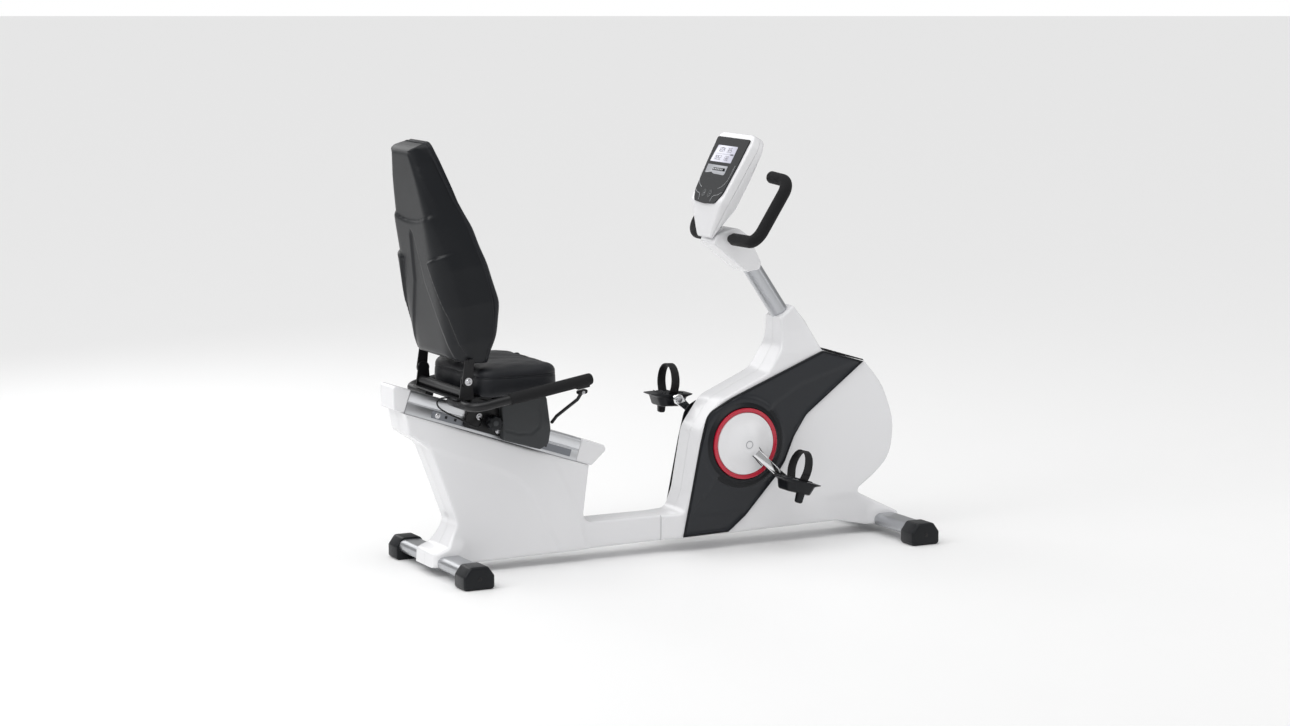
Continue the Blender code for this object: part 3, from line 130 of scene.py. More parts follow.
LOOKS = {
    "white_shell": {
        "colour": (0.80, 0.80, 0.815), "roughness": 0.24, "spread": 0.05, "tint": 0.008, "bump": 0.02,
        "coat": 0.25
    },
    "anthracite_insert": {
        "colour": (0.020, 0.022, 0.026), "roughness": 0.22, "spread": 0.05, "tint": 0.08, "bump": 0.02,
        "shine": 0.30
    },
    "black_plastic": {
        "colour": (0.007, 0.008, 0.010), "roughness": 0.36, "tint": 0.15, "bump": 0.08, "grain": 0.10,
        "grain_scale": 1400.0, "shine": 0.26
    },
    "red_plastic": {
        "colour": (0.50, 0.010, 0.035), "roughness": 0.28, "tint": 0.05, "bump": 0.02, "coat": 0.3
    },
    "chrome_arm": {
        "colour": (0.86, 0.87, 0.88), "roughness": 0.10, "metallic": 1.0, "spread": 0.04, "tint": 0.02,
        "bump": 0.01
    },
    "rail_aluminium": {
        "colour": (0.66, 0.67, 0.69), "roughness": 0.34, "metallic": 1.0, "spread": 0.08, "tint": 0.05,
        "bump": 0.06, "streak": (0.05, 1.0, 1.0)
    },
    "silver_tube": {
        "colour": (0.46, 0.47, 0.49), "roughness": 0.30, "metallic": 0.85, "spread": 0.06, "tint": 0.06,
        "bump": 0.03, "coat": 0.25
    },
    "black_steel": {
        "colour": (0.010, 0.010, 0.011), "roughness": 0.34, "metallic": 0.0, "tint": 0.2, "bump": 0.10,
        "scale": 90.0, "shine": 0.3
    },
    "flywheel_iron": {
        "colour": (0.11, 0.11, 0.115), "roughness": 0.50, "metallic": 0.9, "spread": 0.12, "tint": 0.2,
        "bump": 0.15
    },
    "grey_plastic": {
        "colour": (0.040, 0.043, 0.046), "roughness": 0.46, "tint": 0.10, "bump": 0.08, "grain": 0.10,
        "grain_scale": 1200.0, "shine": 0.35
    },
    "foam_grip": {
        "colour": (0.009, 0.009, 0.010), "roughness": 0.80, "tint": 0.25, "bump": 0.45, "grain": 0.35,
        "grain_scale": 1100.0, "sheen": 0.03, "shine": 0.25
    },
    "leatherette": {
        "colour": (0.008, 0.009, 0.012), "roughness": 0.40, "spread": 0.08, "tint": 0.18, "bump": 0.12,
        "grain": 0.45, "grain_scale": 620.0, "shine": 0.30
    },
    "strap_rubber": {
        "colour": (0.008, 0.008, 0.009), "roughness": 0.55, "tint": 0.2, "bump": 0.15, "grain": 0.12,
        "shine": 0.3
    },
    "display_glass": {
        "colour": (0.62, 0.62, 0.72), "roughness": 0.16, "spread": 0.03, "tint": 0.02, "bump": 0.01,
        "coat": 0.6
    }, "board_green": {"colour": (0.02, 0.12, 0.05), "roughness": 0.45, "tint": 0.3, "bump": 0.2},
}
FINISHES = {slot: new_finish(slot, **look) for slot, look in LOOKS.items()}
INK = new_finish("ink_dark", (0.005, 0.006, 0.008), 0.22, tint=0.1, bump=0.01, shine=0.08)
LEGEND = new_finish("legend_grey", (0.42, 0.43, 0.45), 0.40, tint=0.06, bump=0.02)
LIGHT_PANEL = new_finish("panel_light", (0.36, 0.37, 0.40), 0.30, tint=0.06, bump=0.02)
BOLT = new_finish("bolt_zinc", (0.62, 0.62, 0.64), 0.26, 1.0, spread=0.10, tint=0.08, bump=0.05)
STRIP = new_finish("strip_steel", (0.20, 0.21, 0.23), 0.38, 0.7, spread=0.10, tint=0.10, bump=0.08)

NODE_SLOTS = {name: made.data.materials[0].name.split(".")[0] for name, made in nodes.items()}
for name, made in nodes.items():
    for index in range(len(made.data.materials)):
        made.data.materials[index] = FINISHES[NODE_SLOTS[name]]


# ---------------------------------------------------------------- outlines
def rounded(corners, step=8.0):
    """Closed outline of (a, b, radius) corners, each corner replaced by an arc."""
    outline = []
    for index, (a, b, radius) in enumerate(corners):
        here = Vector((a, b))
        to_before = (Vector(corners[index - 1][:2]) - here).normalized()
        to_after = (Vector(corners[(index + 1) % len(corners)][:2]) - here).normalized()
        half = to_before.angle(to_after) / 2
        turn = math.pi - 2 * half
        if radius <= 0 or turn < 0.02:
            outline.append((a, b))
            continue
        centre = here + (to_before + to_after).normalized() * (radius / math.sin(half))
        first = here + to_before * (radius / math.tan(half)) - centre
        sign = 1.0 if (-to_before).cross(to_after) > 0 else -1.0
        count = max(2, round(math.degrees(turn) / step))
        for stop in range(count + 1):
            angle = sign * turn * stop / count
            cos, sin = math.cos(angle), math.sin(angle)
            outline.append(
                (centre.x + first.x * cos - first.y * sin, centre.y + first.x * sin + first.y * cos)
            )
    return outline


def fine(outline, pitch=0.012):
    """The outline with its long edges split."""
    made = []
    for index, here in enumerate(outline):
        before = outline[index - 1]
        count = max(1, round(math.dist(before, here) / pitch))
        for stop in range(count):
            part = (stop + 1) / count
            made.append((before[0] + (here[0] - before[0]) * part, before[1] + (here[1] - before[1]) * part))
    return made


def inset(outline, distance, shallow=None):
    """The outline moved inwards. Edges for which shallow(a, b) is true move only SHALLOW_SHARE of the way."""
    points = np.array(outline)
    edges = points - np.roll(points, 1, axis=0)
    lengths = np.hypot(edges[:, 0], edges[:, 1])
    area = np.sum(
        np.roll(points, 1, axis=0)[:, 0] * points[:, 1] - points[:, 0] * np.roll(points, 1, axis=0)[:, 1]
    )
    sign = 1.0 if area > 0 else -1.0
    normals = sign * np.stack([-edges[:, 1], edges[:, 0]], axis=1) / lengths[:, None]
    moves = np.full(len(points), distance)
    if shallow:
        middles = (points + np.roll(points, 1, axis=0)) / 2
        moves = np.where([shallow(a, b) for a, b in middles], distance * SHALLOW_SHARE, distance)
    made = []
    for index in range(len(points)):
        n1, n2 = normals[index], normals[(index + 1) % len(points)]
        d1, d2 = moves[index], moves[(index + 1) % len(points)]
        cross = n1[0] * n2[1] - n1[1] * n2[0]
        if abs(cross) < 0.05:
            middle = n1 + n2
            shift = middle / np.hypot(*middle) * (d1 + d2) / 2
        else:
            shift = np.array([d1 * n2[1] - d2 * n1[1], n1[0] * d2 - n2[0] * d1]) / cross
            reach = np.hypot(*shift)
            if reach > LONGEST_MITRE * distance > 0:
                shift *= LONGEST_MITRE * distance / reach
        made.append((points[index][0] + shift[0], points[index][1] + shift[1]))
    return made


def stadium(half_a, half_b, step=10.0):
    """An upright pill outline."""
    a, b = half_a, half_b
    radius = min(a, b) * 0.96
    return rounded([(a, b, radius), (-a, b, radius), (-a, -b, radius), (a, -b, radius)], step)


def circle(radius, count, other=None):
    """Points of a circle, or of an ellipse with other as its second radius."""
    turns = [2 * math.pi * (stop + 0.5) / count for stop in range(count)]
    return [(radius * math.cos(turn), (other or radius) * math.sin(turn)) for turn in turns]


def table(rows, value):
    """Straight-line reading of (place, value) rows."""
    return np.interp(value, [row[0] for row in rows], [row[1] for row in rows])


def step_up(value, width):
    """0 below zero, 1 above width, smooth between."""
    part = np.clip(np.asarray(value, float) / width, 0.0, 1.0)
    return part * part * (3.0 - 2.0 * part)


def beside(points, line):
    """Signed distance of points from a line of points, positive on its left."""
    points = np.asarray(points, float)
    best = np.full(len(points), 1e9)
    signed = np.zeros(len(points))
    for start, end in zip(line, line[1:]):
        start, along = np.array(start), np.array(end) - np.array(start)
        part = np.clip(((points - start) @ along) / (along @ along), 0.0, 1.0)
        gap = points - (start + part[:, None] * along)
        far = np.hypot(gap[:, 0], gap[:, 1])
        left = np.where(along[0] * gap[:, 1] - along[1] * gap[:, 0] >= 0, 1.0, -1.0)
        closer = far < best
        signed = np.where(closer, left * far, signed)
        best = np.where(closer, far, best)
    return signed


def border_distance(points, outline):
    """Distance of points from a closed outline."""
    return np.abs(beside(points, list(outline) + [outline[0]]))


def inside(points, outline):
    """Which points lie within a closed outline."""
    points = np.asarray(points, float)
    within = np.zeros(len(points), bool)
    for (a0, b0), (a1, b1) in zip(outline, outline[1:] + outline[:1]):
        crosses = (b0 > points[:, 1]) != (b1 > points[:, 1])
        if b1 != b0:
            within ^= crosses & (points[:, 0] < (a1 - a0) * (points[:, 1] - b0) / (b1 - b0) + a0)
    return within


# ---------------------------------------------------------------- pieces
def posed(points, origin, tilt):
    """Local points turned by tilt degrees about Y and moved to origin."""
    points = np.asarray(points, float)
    cos, sin = math.cos(math.radians(tilt)), math.sin(math.radians(tilt))
    x, y, z = points[:, 0], points[:, 1], points[:, 2]
    return np.stack([origin[0] + x * cos + z * sin, origin[1] + y, origin[2] - x * sin + z * cos], axis=1)


def piece(
    name, verts, faces, slot, body, instead=(), origin=None, tilt=0.0, sharp=32.0, finish=None, split=None
):
    """A mesh that rides on a body. With split, faces for which it is true take the second finish."""
    if origin is not None:
        verts = posed(verts, origin, tilt)
    mesh = bpy.data.meshes.new(name)
    mesh.from_pydata([tuple(vert) for vert in verts], [], faces)
    shell = bmesh.new()
    shell.from_mesh(mesh)
    bmesh.ops.remove_doubles(shell, verts=shell.verts, dist=MERGE)
    bmesh.ops.recalc_face_normals(shell, faces=shell.faces)
    shell.to_mesh(mesh)
    shell.free()
    mesh.materials.append(finish or FINISHES[slot])
    if split:
        mesh.materials.append(split[0])
        chosen = split[1](np.array([face.center[:] for face in mesh.polygons]))
        mesh.polygons.foreach_set("material_index", chosen.astype(np.int32))
    mesh.shade_smooth()
    mesh.set_sharp_from_angle(angle=math.radians(sharp))
    made = bpy.data.objects.new(name, mesh)
    bpy.context.scene.collection.objects.link(made)
    if instead:
        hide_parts(*instead)
    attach(made, body)
    return made


def sided(verts, side):
    """Skin points (x, z, depth) stood on one side of the middle plane."""
    return np.stack([verts[:, 0], side * verts[:, 2], verts[:, 1]], axis=1)


def band(side, near, far):
    """The two ends along Y of something on one side, the lower one first."""
    return sorted((side * near, side * far))


def join_rings(rings, closed=False):
    """Points and faces of a loft through rings of equal counts, with end caps or closed on itself."""
    count = len(rings[0])
    faces = []
    for low in range(len(rings) if closed else len(rings) - 1):
        high = (low + 1) % len(rings)
        for stop in range(count):
            after = (stop + 1) % count
            faces.append((low * count + stop, low * count + after, high * count + after, high * count + stop))
    if not closed:
        faces += [tuple(range(count)), tuple(range((len(rings) - 1) * count, len(rings) * count))]
    return [tuple(point) for ring in rings for point in ring], faces


def turned(profile, count, centre, side=1.0, ring=False):
    """A (radius, y) profile turned about a line along Y."""
    rings = []
    for radius, y in profile:
        rings.append([(centre[0] + a, centre[1] + side * y, centre[2] + b) for a, b in circle(radius, count)])
    return join_rings(rings, ring)


def rounded_profile(points, radius, steps=4):
    """A (radius, y) profile with its inner corners rounded."""
    made = [points[0]]
    for before, here, after in zip(points, points[1:], points[2:]):
        here_v = Vector(here)
        to_before, to_after = Vector(before) - here_v, Vector(after) - here_v
        reach = min(radius, to_before.length * 0.45, to_after.length * 0.45)
        first, last = here_v + to_before.normalized() * reach, here_v + to_after.normalized() * reach
        for stop in range(steps + 1):
            part = stop / steps
            point = first * (1 - part) ** 2 + here_v * 2 * part * (1 - part) + last * part ** 2
            made.append(tuple(point))
    return made + [points[-1]]


def path_frames(path, up):
    """Each point of a path with its directions across and upward."""
    made = []
    for index, point in enumerate(path):
        before, after = Vector(path[max(index - 1, 0)]), Vector(path[min(index + 1, len(path) - 1)])
        ahead = (after - before).normalized()
        across = ahead.cross(Vector(up)).normalized()
        made.append((Vector(point), across, across.cross(ahead)))
    return made


def sweep(path, section, up, scales=None):
    """A section carried along a path."""
    rings = []
    for index, (point, across, upward) in enumerate(path_frames(path, up)):
        scale = scales[index] if scales else 1.0
        rings.append([tuple(point + across * a * scale + upward * b * scale) for a, b in section])
    return join_rings(rings)


def bent(points, radius, count):
    """A path through corners, each rounded to a bend radius."""
    path = [Vector(points[0])]
    for before, here, after in zip(points, points[1:], points[2:]):
        before, here, after = Vector(before), Vector(here), Vector(after)
        to_before, to_after = (before - here).normalized(), (after - here).normalized()
        half = to_before.angle(to_after) / 2
        centre = here + (to_before + to_after).normalized() * (radius / math.sin(half))
        first = here + to_before * (radius / math.tan(half)) - centre
        last = here + to_after * (radius / math.tan(half)) - centre
        path += [centre + first.slerp(last, stop / count).normalized() * radius for stop in range(count + 1)]
    path.append(Vector(points[-1]))
    return path


def smooth_route(route, steps):
    """A smooth curve through every point of a route."""
    points = [Vector(point) for point in route]
    padded = [points[0] * 2 - points[1]] + points + [points[-1] * 2 - points[-2]]
    made = []
    for p0, p1, p2, p3 in zip(padded, padded[1:], padded[2:], padded[3:]):
        for step in range(steps):
            t = step / steps
            made.append(0.5 * (2 * p1 + (p2 - p0) * t + (2 * p0 - 5 * p1 + 4 * p2 - p3) * t ** 2
                               + (3 * p1 - p0 - 3 * p2 + p3) * t ** 3))
    return made + [points[-1]]


def round_edge(radius, steps=5):
    """(inset, drop) pairs of a quarter-round edge, from the wall to the face."""
    turns = [math.pi / 2 * stop / steps for stop in range(steps + 1)]
    return [(radius * (1 - math.cos(turn)), radius * (1 - math.sin(turn))) for turn in turns]


def face_grid(loop, low, high, pitch, rise, margin):
    """Points of a staggered grid inside a loop, clear of its border."""
    across, up = np.arange(low[0], high[0], pitch), np.arange(low[1], high[1], rise)
    grid = np.array([(a + (pitch / 2 if row % 2 else 0.0), b) for row, b in enumerate(up) for a in across])
    grid = grid[inside(grid, loop)]
    return grid[border_distance(grid, loop) > margin]


def triangles(points, loops):
    """Points and cells of a flat mesh that keeps the edges of its loops."""
    edges = [(loop[stop - 1], loop[stop]) for loop in loops for stop in range(len(loop))]
    flat, _, cells, *_ = delaunay_2d_cdt([Vector(point) for point in points], edges, [], 1, MERGE)
    return np.array([tuple(point) for point in flat]), cells


def skin(outline, edge, height, base, pitch, shallow=None, hole=None):
    """A wall, a rounded edge and a face meshed on a grid, as (a, b, depth) points.

    height(points, border distances) gives the face's depth, and base the depth of the wall's open end.
    """
    rings = []
    for amount, drop in edge:
        ring = inset(outline, amount, shallow)
        distances = np.full(len(ring), amount)
        tops = height(np.array(ring), distances) - drop
        rings.append([(a, b, depth) for (a, b), depth in zip(ring, tops)])
    foot = [(a, b, base) for a, b, _ in rings[0]]
    rings = [foot] + rings
    verts, faces = join_rings(rings)
    faces = faces[:-2]
    last = [(a, b) for a, b, _ in rings[-1]]
    low, high = np.min(last, axis=0), np.max(last, axis=0)
    grid = face_grid(last, low, high, pitch, pitch * ROW_RISE, pitch * 0.45)
    points = last + [tuple(point) for point in grid]
    loops = [list(range(len(last)))]
    if hole:
        keep = np.hypot(grid[:, 0] - hole[0], grid[:, 1] - hole[1]) > hole[2] + pitch * 0.4
        points = last + [tuple(point) for point in grid[keep]]
        rim = [(hole[0] + a, hole[1] + b) for a, b in circle(hole[2], 72)]
        loops.append(list(range(len(points), len(points) + len(rim))))
        points += rim
    flat, cells = triangles(points, loops)
    last_inset, last_drop = edge[-1]
    depths = height(flat, border_distance(flat, last) + last_inset) - last_drop
    start = len(verts)
    verts = verts + [(a, b, depth) for (a, b), depth in zip(flat, depths)]
    for cell in cells:
        if hole:
            middle = flat[list(cell)].mean(axis=0)
            if math.hypot(middle[0] - hole[0], middle[1] - hole[1]) < hole[2] * 0.99:
                continue
        faces.append(tuple(start + index for index in cell))
    return np.array(verts), faces


def slab(name, outline, low, high, edge, slot, body, instead=(), centre=(0.0, 0.0), **options):
    """An XZ outline extruded along Y with rounded end edges."""
    levels = [(low + drop, amount) for amount, drop in reversed(round_edge(edge))]
    levels += [(high - drop, amount) for amount, drop in round_edge(edge)]
    rings = []
    for y, amount in levels:
        rings.append([(centre[0] + a, y, centre[1] + b) for a, b in inset(outline, amount)])
    verts, faces = join_rings(rings)
    return piece(name, verts, faces, slot, body, instead, **options)


def refine(node, body, width=0.0012, angle=25.0, segments=3):
    """A softened copy of a CAD node's mesh, shown in its place."""
    source = nodes[node].data
    shell = bmesh.new()
    shell.from_mesh(source)
    bmesh.ops.remove_doubles(shell, verts=shell.verts, dist=0.00002)
    bmesh.ops.dissolve_limit(shell, angle_limit=math.radians(0.6), verts=shell.verts, edges=shell.edges)
    mesh = bpy.data.meshes.new(node + "_look")
    shell.to_mesh(mesh)
    shell.free()
    mesh.materials.clear()
    mesh.materials.append(FINISHES[NODE_SLOTS[node]])
    made = bpy.data.objects.new(node + "_look", mesh)
    bpy.context.scene.collection.objects.link(made)
    bevel = made.modifiers.new("edges", "BEVEL")
    bevel.width = width
    bevel.segments = segments
    bevel.limit_method = "ANGLE"
    bevel.angle_limit = math.radians(angle)
    bevel.use_clamp_overlap = True
    bevel.harden_normals = False
    mesh.shade_smooth()
    mesh.set_sharp_from_angle(angle=math.radians(40))
    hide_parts(node)
    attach(made, body)
    return made


# ---------------------------------------------------------------- white covers
# (x or z, half width or share of it), and creases as (x, z) lines
REAR_WIDTHS = [(-0.300, 0.065), (-0.215, 0.056)]
FRONT_WIDTHS = [(0.030, 0.056), (0.090, 0.070)]
NECK_TAPER = [(0.590, 1.0), (0.660, 0.78), (0.715, 0.67), (0.75, 0.65)]
CREASE_A = [
    (-0.743, 0.394), (-0.679, 0.364), (-0.599, 0.335), (-0.518, 0.306), (-0.464, 0.276), (-0.431, 0.248),
    (-0.404, 0.196), (-0.376, 0.153), (-0.355, 0.110)
]
CREASE_B = [(-0.346, 0.311), (-0.307, 0.237), (-0.269, 0.152), (-0.250, 0.100)]


def rail_top(x):
    return 0.580 - (x + LENGTH_END) * math.tan(math.radians(RAIL_ANGLE))


def rear_height(points, distances):
    """Half width of the rear cover: two creases and a collar round the stabiliser."""
    x, z = points[:, 0], points[:, 1]
    depth = table(REAR_WIDTHS, x)
    depth = depth - 0.0045 * step_up(-beside(points, CREASE_A) - 0.001, 0.010)
    depth = depth - 0.0030 * step_up(beside(points, CREASE_B) - 0.001, 0.009)
    collar = np.exp(-(np.abs(x + 0.690) / 0.052) ** 4) * step_up(0.125 - z, 0.060)
    return depth + 0.019 * collar


def front_height(points, distances):
    """Half width of the housing: it narrows up the neck and has a collar round the stabiliser."""
    x, z = points[:, 0], points[:, 1]
    depth = table(FRONT_WIDTHS, x) * table(NECK_TAPER, z)
    collar = step_up(x - 0.735, 0.055) * step_up(0.105 - z, 0.040)
    sill = step_up(x - 0.55, 0.10) * step_up(0.135 - z, 0.02)
    return depth + 0.011 * collar - 0.002 * sill


def at_seam(a, b):
    """Edges where the rear cover meets the housing stay almost sharp."""
    return abs(a - SEAM_X) < 0.0012


def add_covers():
    below = RAIL_DEPTH / math.cos(math.radians(RAIL_ANGLE)) + 2 * GAP
    rear = fine(rounded([
        (-0.829, rail_top(-0.829) - below, 0.0), (-0.817, 0.433, 0.016), (-0.750, 0.388, 0.040),
        (-0.716, 0.300, 0.10), (-0.660, 0.150, 0.035), (-0.698, 0.084, 0.020), (-0.741, 0.069, 0.0125),
        (-0.7445, 0.028, 0.0), (SEAM_X - GAP, 0.040, 0.0), (SEAM_X - GAP, 0.118, 0.0),
        (-0.246, 0.118, 0.030), (-0.222, rail_top(-0.222) - below, 0.0),
    ]))
    front = fine(rounded([
        (SEAM_X + GAP, 0.040, 0.0), (0.640, 0.050, 0.040), (0.742, 0.028, 0.0), (0.8572, 0.028, 0.0),
        (0.8572, 0.062, 0.0125), (0.703, 0.139, 0.012), (0.770, 0.186, 0.030), (0.830, 0.240, 0.120),
        (0.845, 0.352, 0.190), (0.800, 0.475, 0.240), (0.736, 0.548, 0.013), (0.579, 0.596, 0.012),
        (0.527, 0.690, 0.060), (0.4885, 0.7370, 0.0), (0.4385, 0.7030, 0.0), (0.4400, 0.618, 0.090),
        (0.390, 0.538, 0.060), (0.215, 0.462, 0.080), (0.150, 0.372, 0.100), (0.116, 0.180, 0.100),
        (0.092, 0.118, 0.028), (SEAM_X + GAP, 0.118, 0.0),
    ]))
    for part, outline, height, hole in (("rear_cover", rear, rear_height, None),
                                        ("housing", front, front_height, (CRANK[0], CRANK[2], 0.032))):
        verts, faces = skin(outline, round_edge(0.009), height, 0.0003, 0.0075, at_seam, hole)
        for side_name, side in SIDES.items():
            placed = sided(verts, side)
            node = part + "_" + side_name
            piece(node + "_skin", placed, faces, "white_shell", "base", [node], sharp=50.0)


def accent_outline():
    return fine(rounded([
        (0.088, 0.046, 0.0), (0.244, 0.0495, 0.010), (0.304, 0.096, 0.030), (0.408, 0.207, 0.050),
        (0.443, 0.255, 0.060), (0.476, 0.333, 0.060), (0.519, 0.397, 0.060), (0.724, 0.551, 0.0),
        (0.576, 0.5935, 0.0), (0.256, 0.468, 0.080), (0.170, 0.425, 0.060), (0.146, 0.330, 0.090),
    ]), 0.010)


ACCENT_FOLD = [(0.72, 0.562), (0.50, 0.500), (0.405, 0.445), (0.372, 0.408)]
ACCENT_SILL = [(0.07, 0.112), (0.33, 0.118)]


def accent_height(points, distances):
    """Half width of the accent panel inside its rim: a fold, a sill and a raised ring round the crank."""
    depth = np.full(len(points), 0.0768)
    inner = step_up(distances - 0.0052, 0.002)
    depth = depth - inner * 0.0034 * step_up(beside(points, ACCENT_FOLD), 0.009)
    depth = depth - inner * 0.0024 * step_up(-beside(points, ACCENT_SILL), 0.007)
    around = np.hypot(points[:, 0] - CRANK[0], points[:, 1] - CRANK[2])
    return depth + inner * 0.003 * step_up(0.150 - around, 0.012)


def add_accents():
    outline = accent_outline()
    edge = [(0.0, 0.0026), (0.0004, 0.0012), (0.0013, 0.0002), (0.0020, 0.0), (0.0040, 0.0), (0.0044, 0.0016),
            (0.0050, 0.0016), (0.0056, 0.0002), (0.0064, 0.0)]
    verts, faces = skin(outline, edge, accent_height, 0.0706, 0.0070, None, (CRANK[0], CRANK[2], 0.119))

    def near_rim(centres):
        return border_distance(centres[:, [0, 2]], outline) < 0.0046

    bezel = rounded_profile(
        [
            (0.1115, 0.0718), (0.1115, 0.0885), (0.1140, 0.0902), (0.1180, 0.0872), (0.1270, 0.0792),
            (0.1345, 0.0790), (0.1395, 0.0776), (0.1405, 0.0718)
        ], 0.0016
    )
    for side_name, side in SIDES.items():
        placed = sided(verts, side)
        piece("accent_skin_" + side_name, placed, faces, "anthracite_insert", "base",
              ["accent_panel_" + side_name], sharp=45.0, split=(FINISHES["black_plastic"], near_rim))
        verts_b, faces_b = turned(bezel, 128, CRANK, side, ring=True)
        piece("bezel_" + side_name, verts_b, faces_b, "black_plastic", "base", sharp=35.0)
    rear, front = Vector((0.584, 0.5958)), Vector((0.727, 0.5522))
    ahead = (front - rear).normalized()
    above = Vector((-ahead.y, ahead.x))
    pitch = (front - rear).length / 9
    upper = []
    for rib in range(9):
        start = rear + ahead * (pitch * rib)
        for along, up in (
            (0.0, 0.0024), (0.10, 0.0040), (0.18, 0.0046), (0.54, 0.0046), (0.62, 0.0040), (0.74, 0.0024)
        ):
            upper.append(start + ahead * pitch * along + above * up)
    lower = [rear + above * 0.0006, front + above * 0.0006]
    outline = [tuple(point) for point in lower + upper[::-1]]
    rings = [[(a, y, b) for a, b in outline] for y in (-0.0748, 0.0748)]
    verts_v, faces_v = join_rings(rings)
    piece("vent_ribs", verts_v, faces_v, "black_plastic", "base", ["top_vent"], sharp=30.0)


# ---------------------------------------------------------------- crank set
def crank_angle(side):
    return CRANK_ANGLE + (0.0 if side < 0 else 180.0)


def crank_eye(side):
    """Where a pedal's axis crosses the middle plane."""
    angle = math.radians(crank_angle(side))
    return CRANK[0] + CRANK_LENGTH * math.cos(angle), 0.0, CRANK[2] - CRANK_LENGTH * math.sin(angle)


def dome_height(radius):
    """How far the dome stands out of its edge's plane."""
    rows = [
        (0.0, 0.0244), (0.0125, 0.0237), (0.026, 0.0226), (0.036, 0.0202), (0.046, 0.0164), (0.056, 0.0120),
        (0.066, 0.0076), (0.076, 0.0042), (0.088, 0.0018), (0.0950, 0.0006), (0.11, -0.001)
    ]
    return float(table(rows, radius))


def arm_outline(grow=0.0):
    """The crank arm along +X from the crank's axis, grown all round."""
    root, eye = 0.0205 + grow, 0.0165 + grow
    turns = [math.radians(60 + 240 * stop / 24) for stop in range(25)]
    points = [(root * math.cos(turn), root * math.sin(turn)) for turn in turns]
    flank = [(a, float(table([(0.010, 0.0178), (0.050, 0.0135), (0.130, 0.0122)], a)) + grow)
             for a in (0.026 + 0.008 * stop for stop in range(14))]
    points += [(a, -half) for a, half in flank]
    for stop in range(25):
        turn = math.radians(-120 + 240 * stop / 24)
        points.append((CRANK_LENGTH + eye * math.cos(turn), eye * math.sin(turn)))
    return points + flank[::-1]


def add_crank():
    """Ring, dome and hub as (radius, distance from the middle plane) profiles; the grey hub ring is painted
    shade for the groove round the hub. Then the arm, and a black band painted as the shade of its slot.
    """
    face = 0.0934
    for side_name, side in SIDES.items():
        angle = crank_angle(side)
        ring = rounded_profile([(0.0972, face - 0.015), (0.1102, face - 0.015), (0.1102, face + 0.0004),
                                (0.1078, face + 0.0016), (0.0996, face + 0.0010), (0.0972, face - 0.0014),
                                (0.0972, face - 0.015)], 0.0012)
        verts, faces = turned(ring, 128, CRANK, side, ring=True)
        piece("red_ring_" + side_name, verts, faces, "red_plastic", "crank", ["crank_ring_" + side_name])
        dome = [
            (0.0966, face - 0.014), (0.0966, face - 0.0010), (0.0950, face + 0.0006), (0.088, face + 0.0018),
            (0.076, face + 0.0042), (0.066, face + 0.0076), (0.056, face + 0.0120), (0.046, face + 0.0164),
            (0.036, face + 0.0202), (0.026, face + 0.0226), (0.0125, face + 0.0237), (0.0122, face + 0.0228),
            (0.0108, face + 0.0228), (0.0104, face + 0.0240), (0.006, face + 0.0243), (0.0005, face + 0.0244)
        ]
        verts, faces = turned(rounded_profile(dome, 0.0010, 3), 128, CRANK, side)
        piece(
            "dome_" + side_name, verts, faces, "white_shell", "crank", ["crank_disc_" + side_name], sharp=50.0
        )
        edge = round_edge(0.0032, 4)
        levels = [(drop, amount) for amount, drop in reversed(edge)]
        levels += [(0.0150 - drop, amount) for amount, drop in edge]
        # painted shade: this grey ring darkens the groove round the hub cap, where only shade falls
        hub = [
            (0.0104, face + 0.0236), (0.0104, face + 0.0249), (0.0112, face + 0.0252),
            (0.0120, face + 0.0248), (0.0120, face + 0.0232)
        ]
        verts, faces = turned(hub, 72, CRANK, side)
        piece("hub_groove_shade_" + side_name, verts, faces[:-2], None, "crank", finish=LEGEND)
        outline = arm_outline()
        rings = []
        for depth, amount in levels:
            rings.append([(a, side * (0.0917 + depth + 0.13 * a), b) for a, b in inset(outline, amount)])
        verts, faces = join_rings(rings)
        piece(
            "crank_arm_look_" + side_name, verts, faces, "chrome_arm", "crank", ["crank_arm_" + side_name],
            CRANK, angle, 40.0
        )
        eye = crank_eye(side)
        nut = [(0.0070, 0.126), (0.0070, 0.2340), (0.0060, 0.2345)]
        verts, faces = turned(nut, 32, eye, side)
        piece("spindle_" + side_name, verts, faces, "black_steel", "crank")
        end = [(0.0095, 0.110), (0.0095, 0.1112), (0.0080, 0.1120), (0.0040, 0.1120), (0.0035, 0.1105)]
        verts, faces = turned(end, 32, eye, side)
        piece("spindle_end_" + side_name, verts, faces, None, "crank", finish=BOLT)
        # painted shade: a thin black band on the dome round the arm stands in for the shade in the slot where
        # the arm leaves the dome
        slot_shade_rim = []
        for grow, lift in ((0.0030, -0.0004), (0.0030, 0.0008), (0.0016, 0.0012), (0.0004, 0.0004)):
            slot_shade_rim.append([(a, side * (face + dome_height(math.hypot(a, b)) + lift), b)
                             for a, b in arm_outline(grow)])
        verts, faces = join_rings(slot_shade_rim, closed=True)
        faces = [cell for cell in faces if all(0.030 < verts[index][0] < 0.094 for index in cell)]
        piece("arm_slot_" + side_name, verts, faces, "black_plastic", "crank", (), CRANK, angle, 40.0)


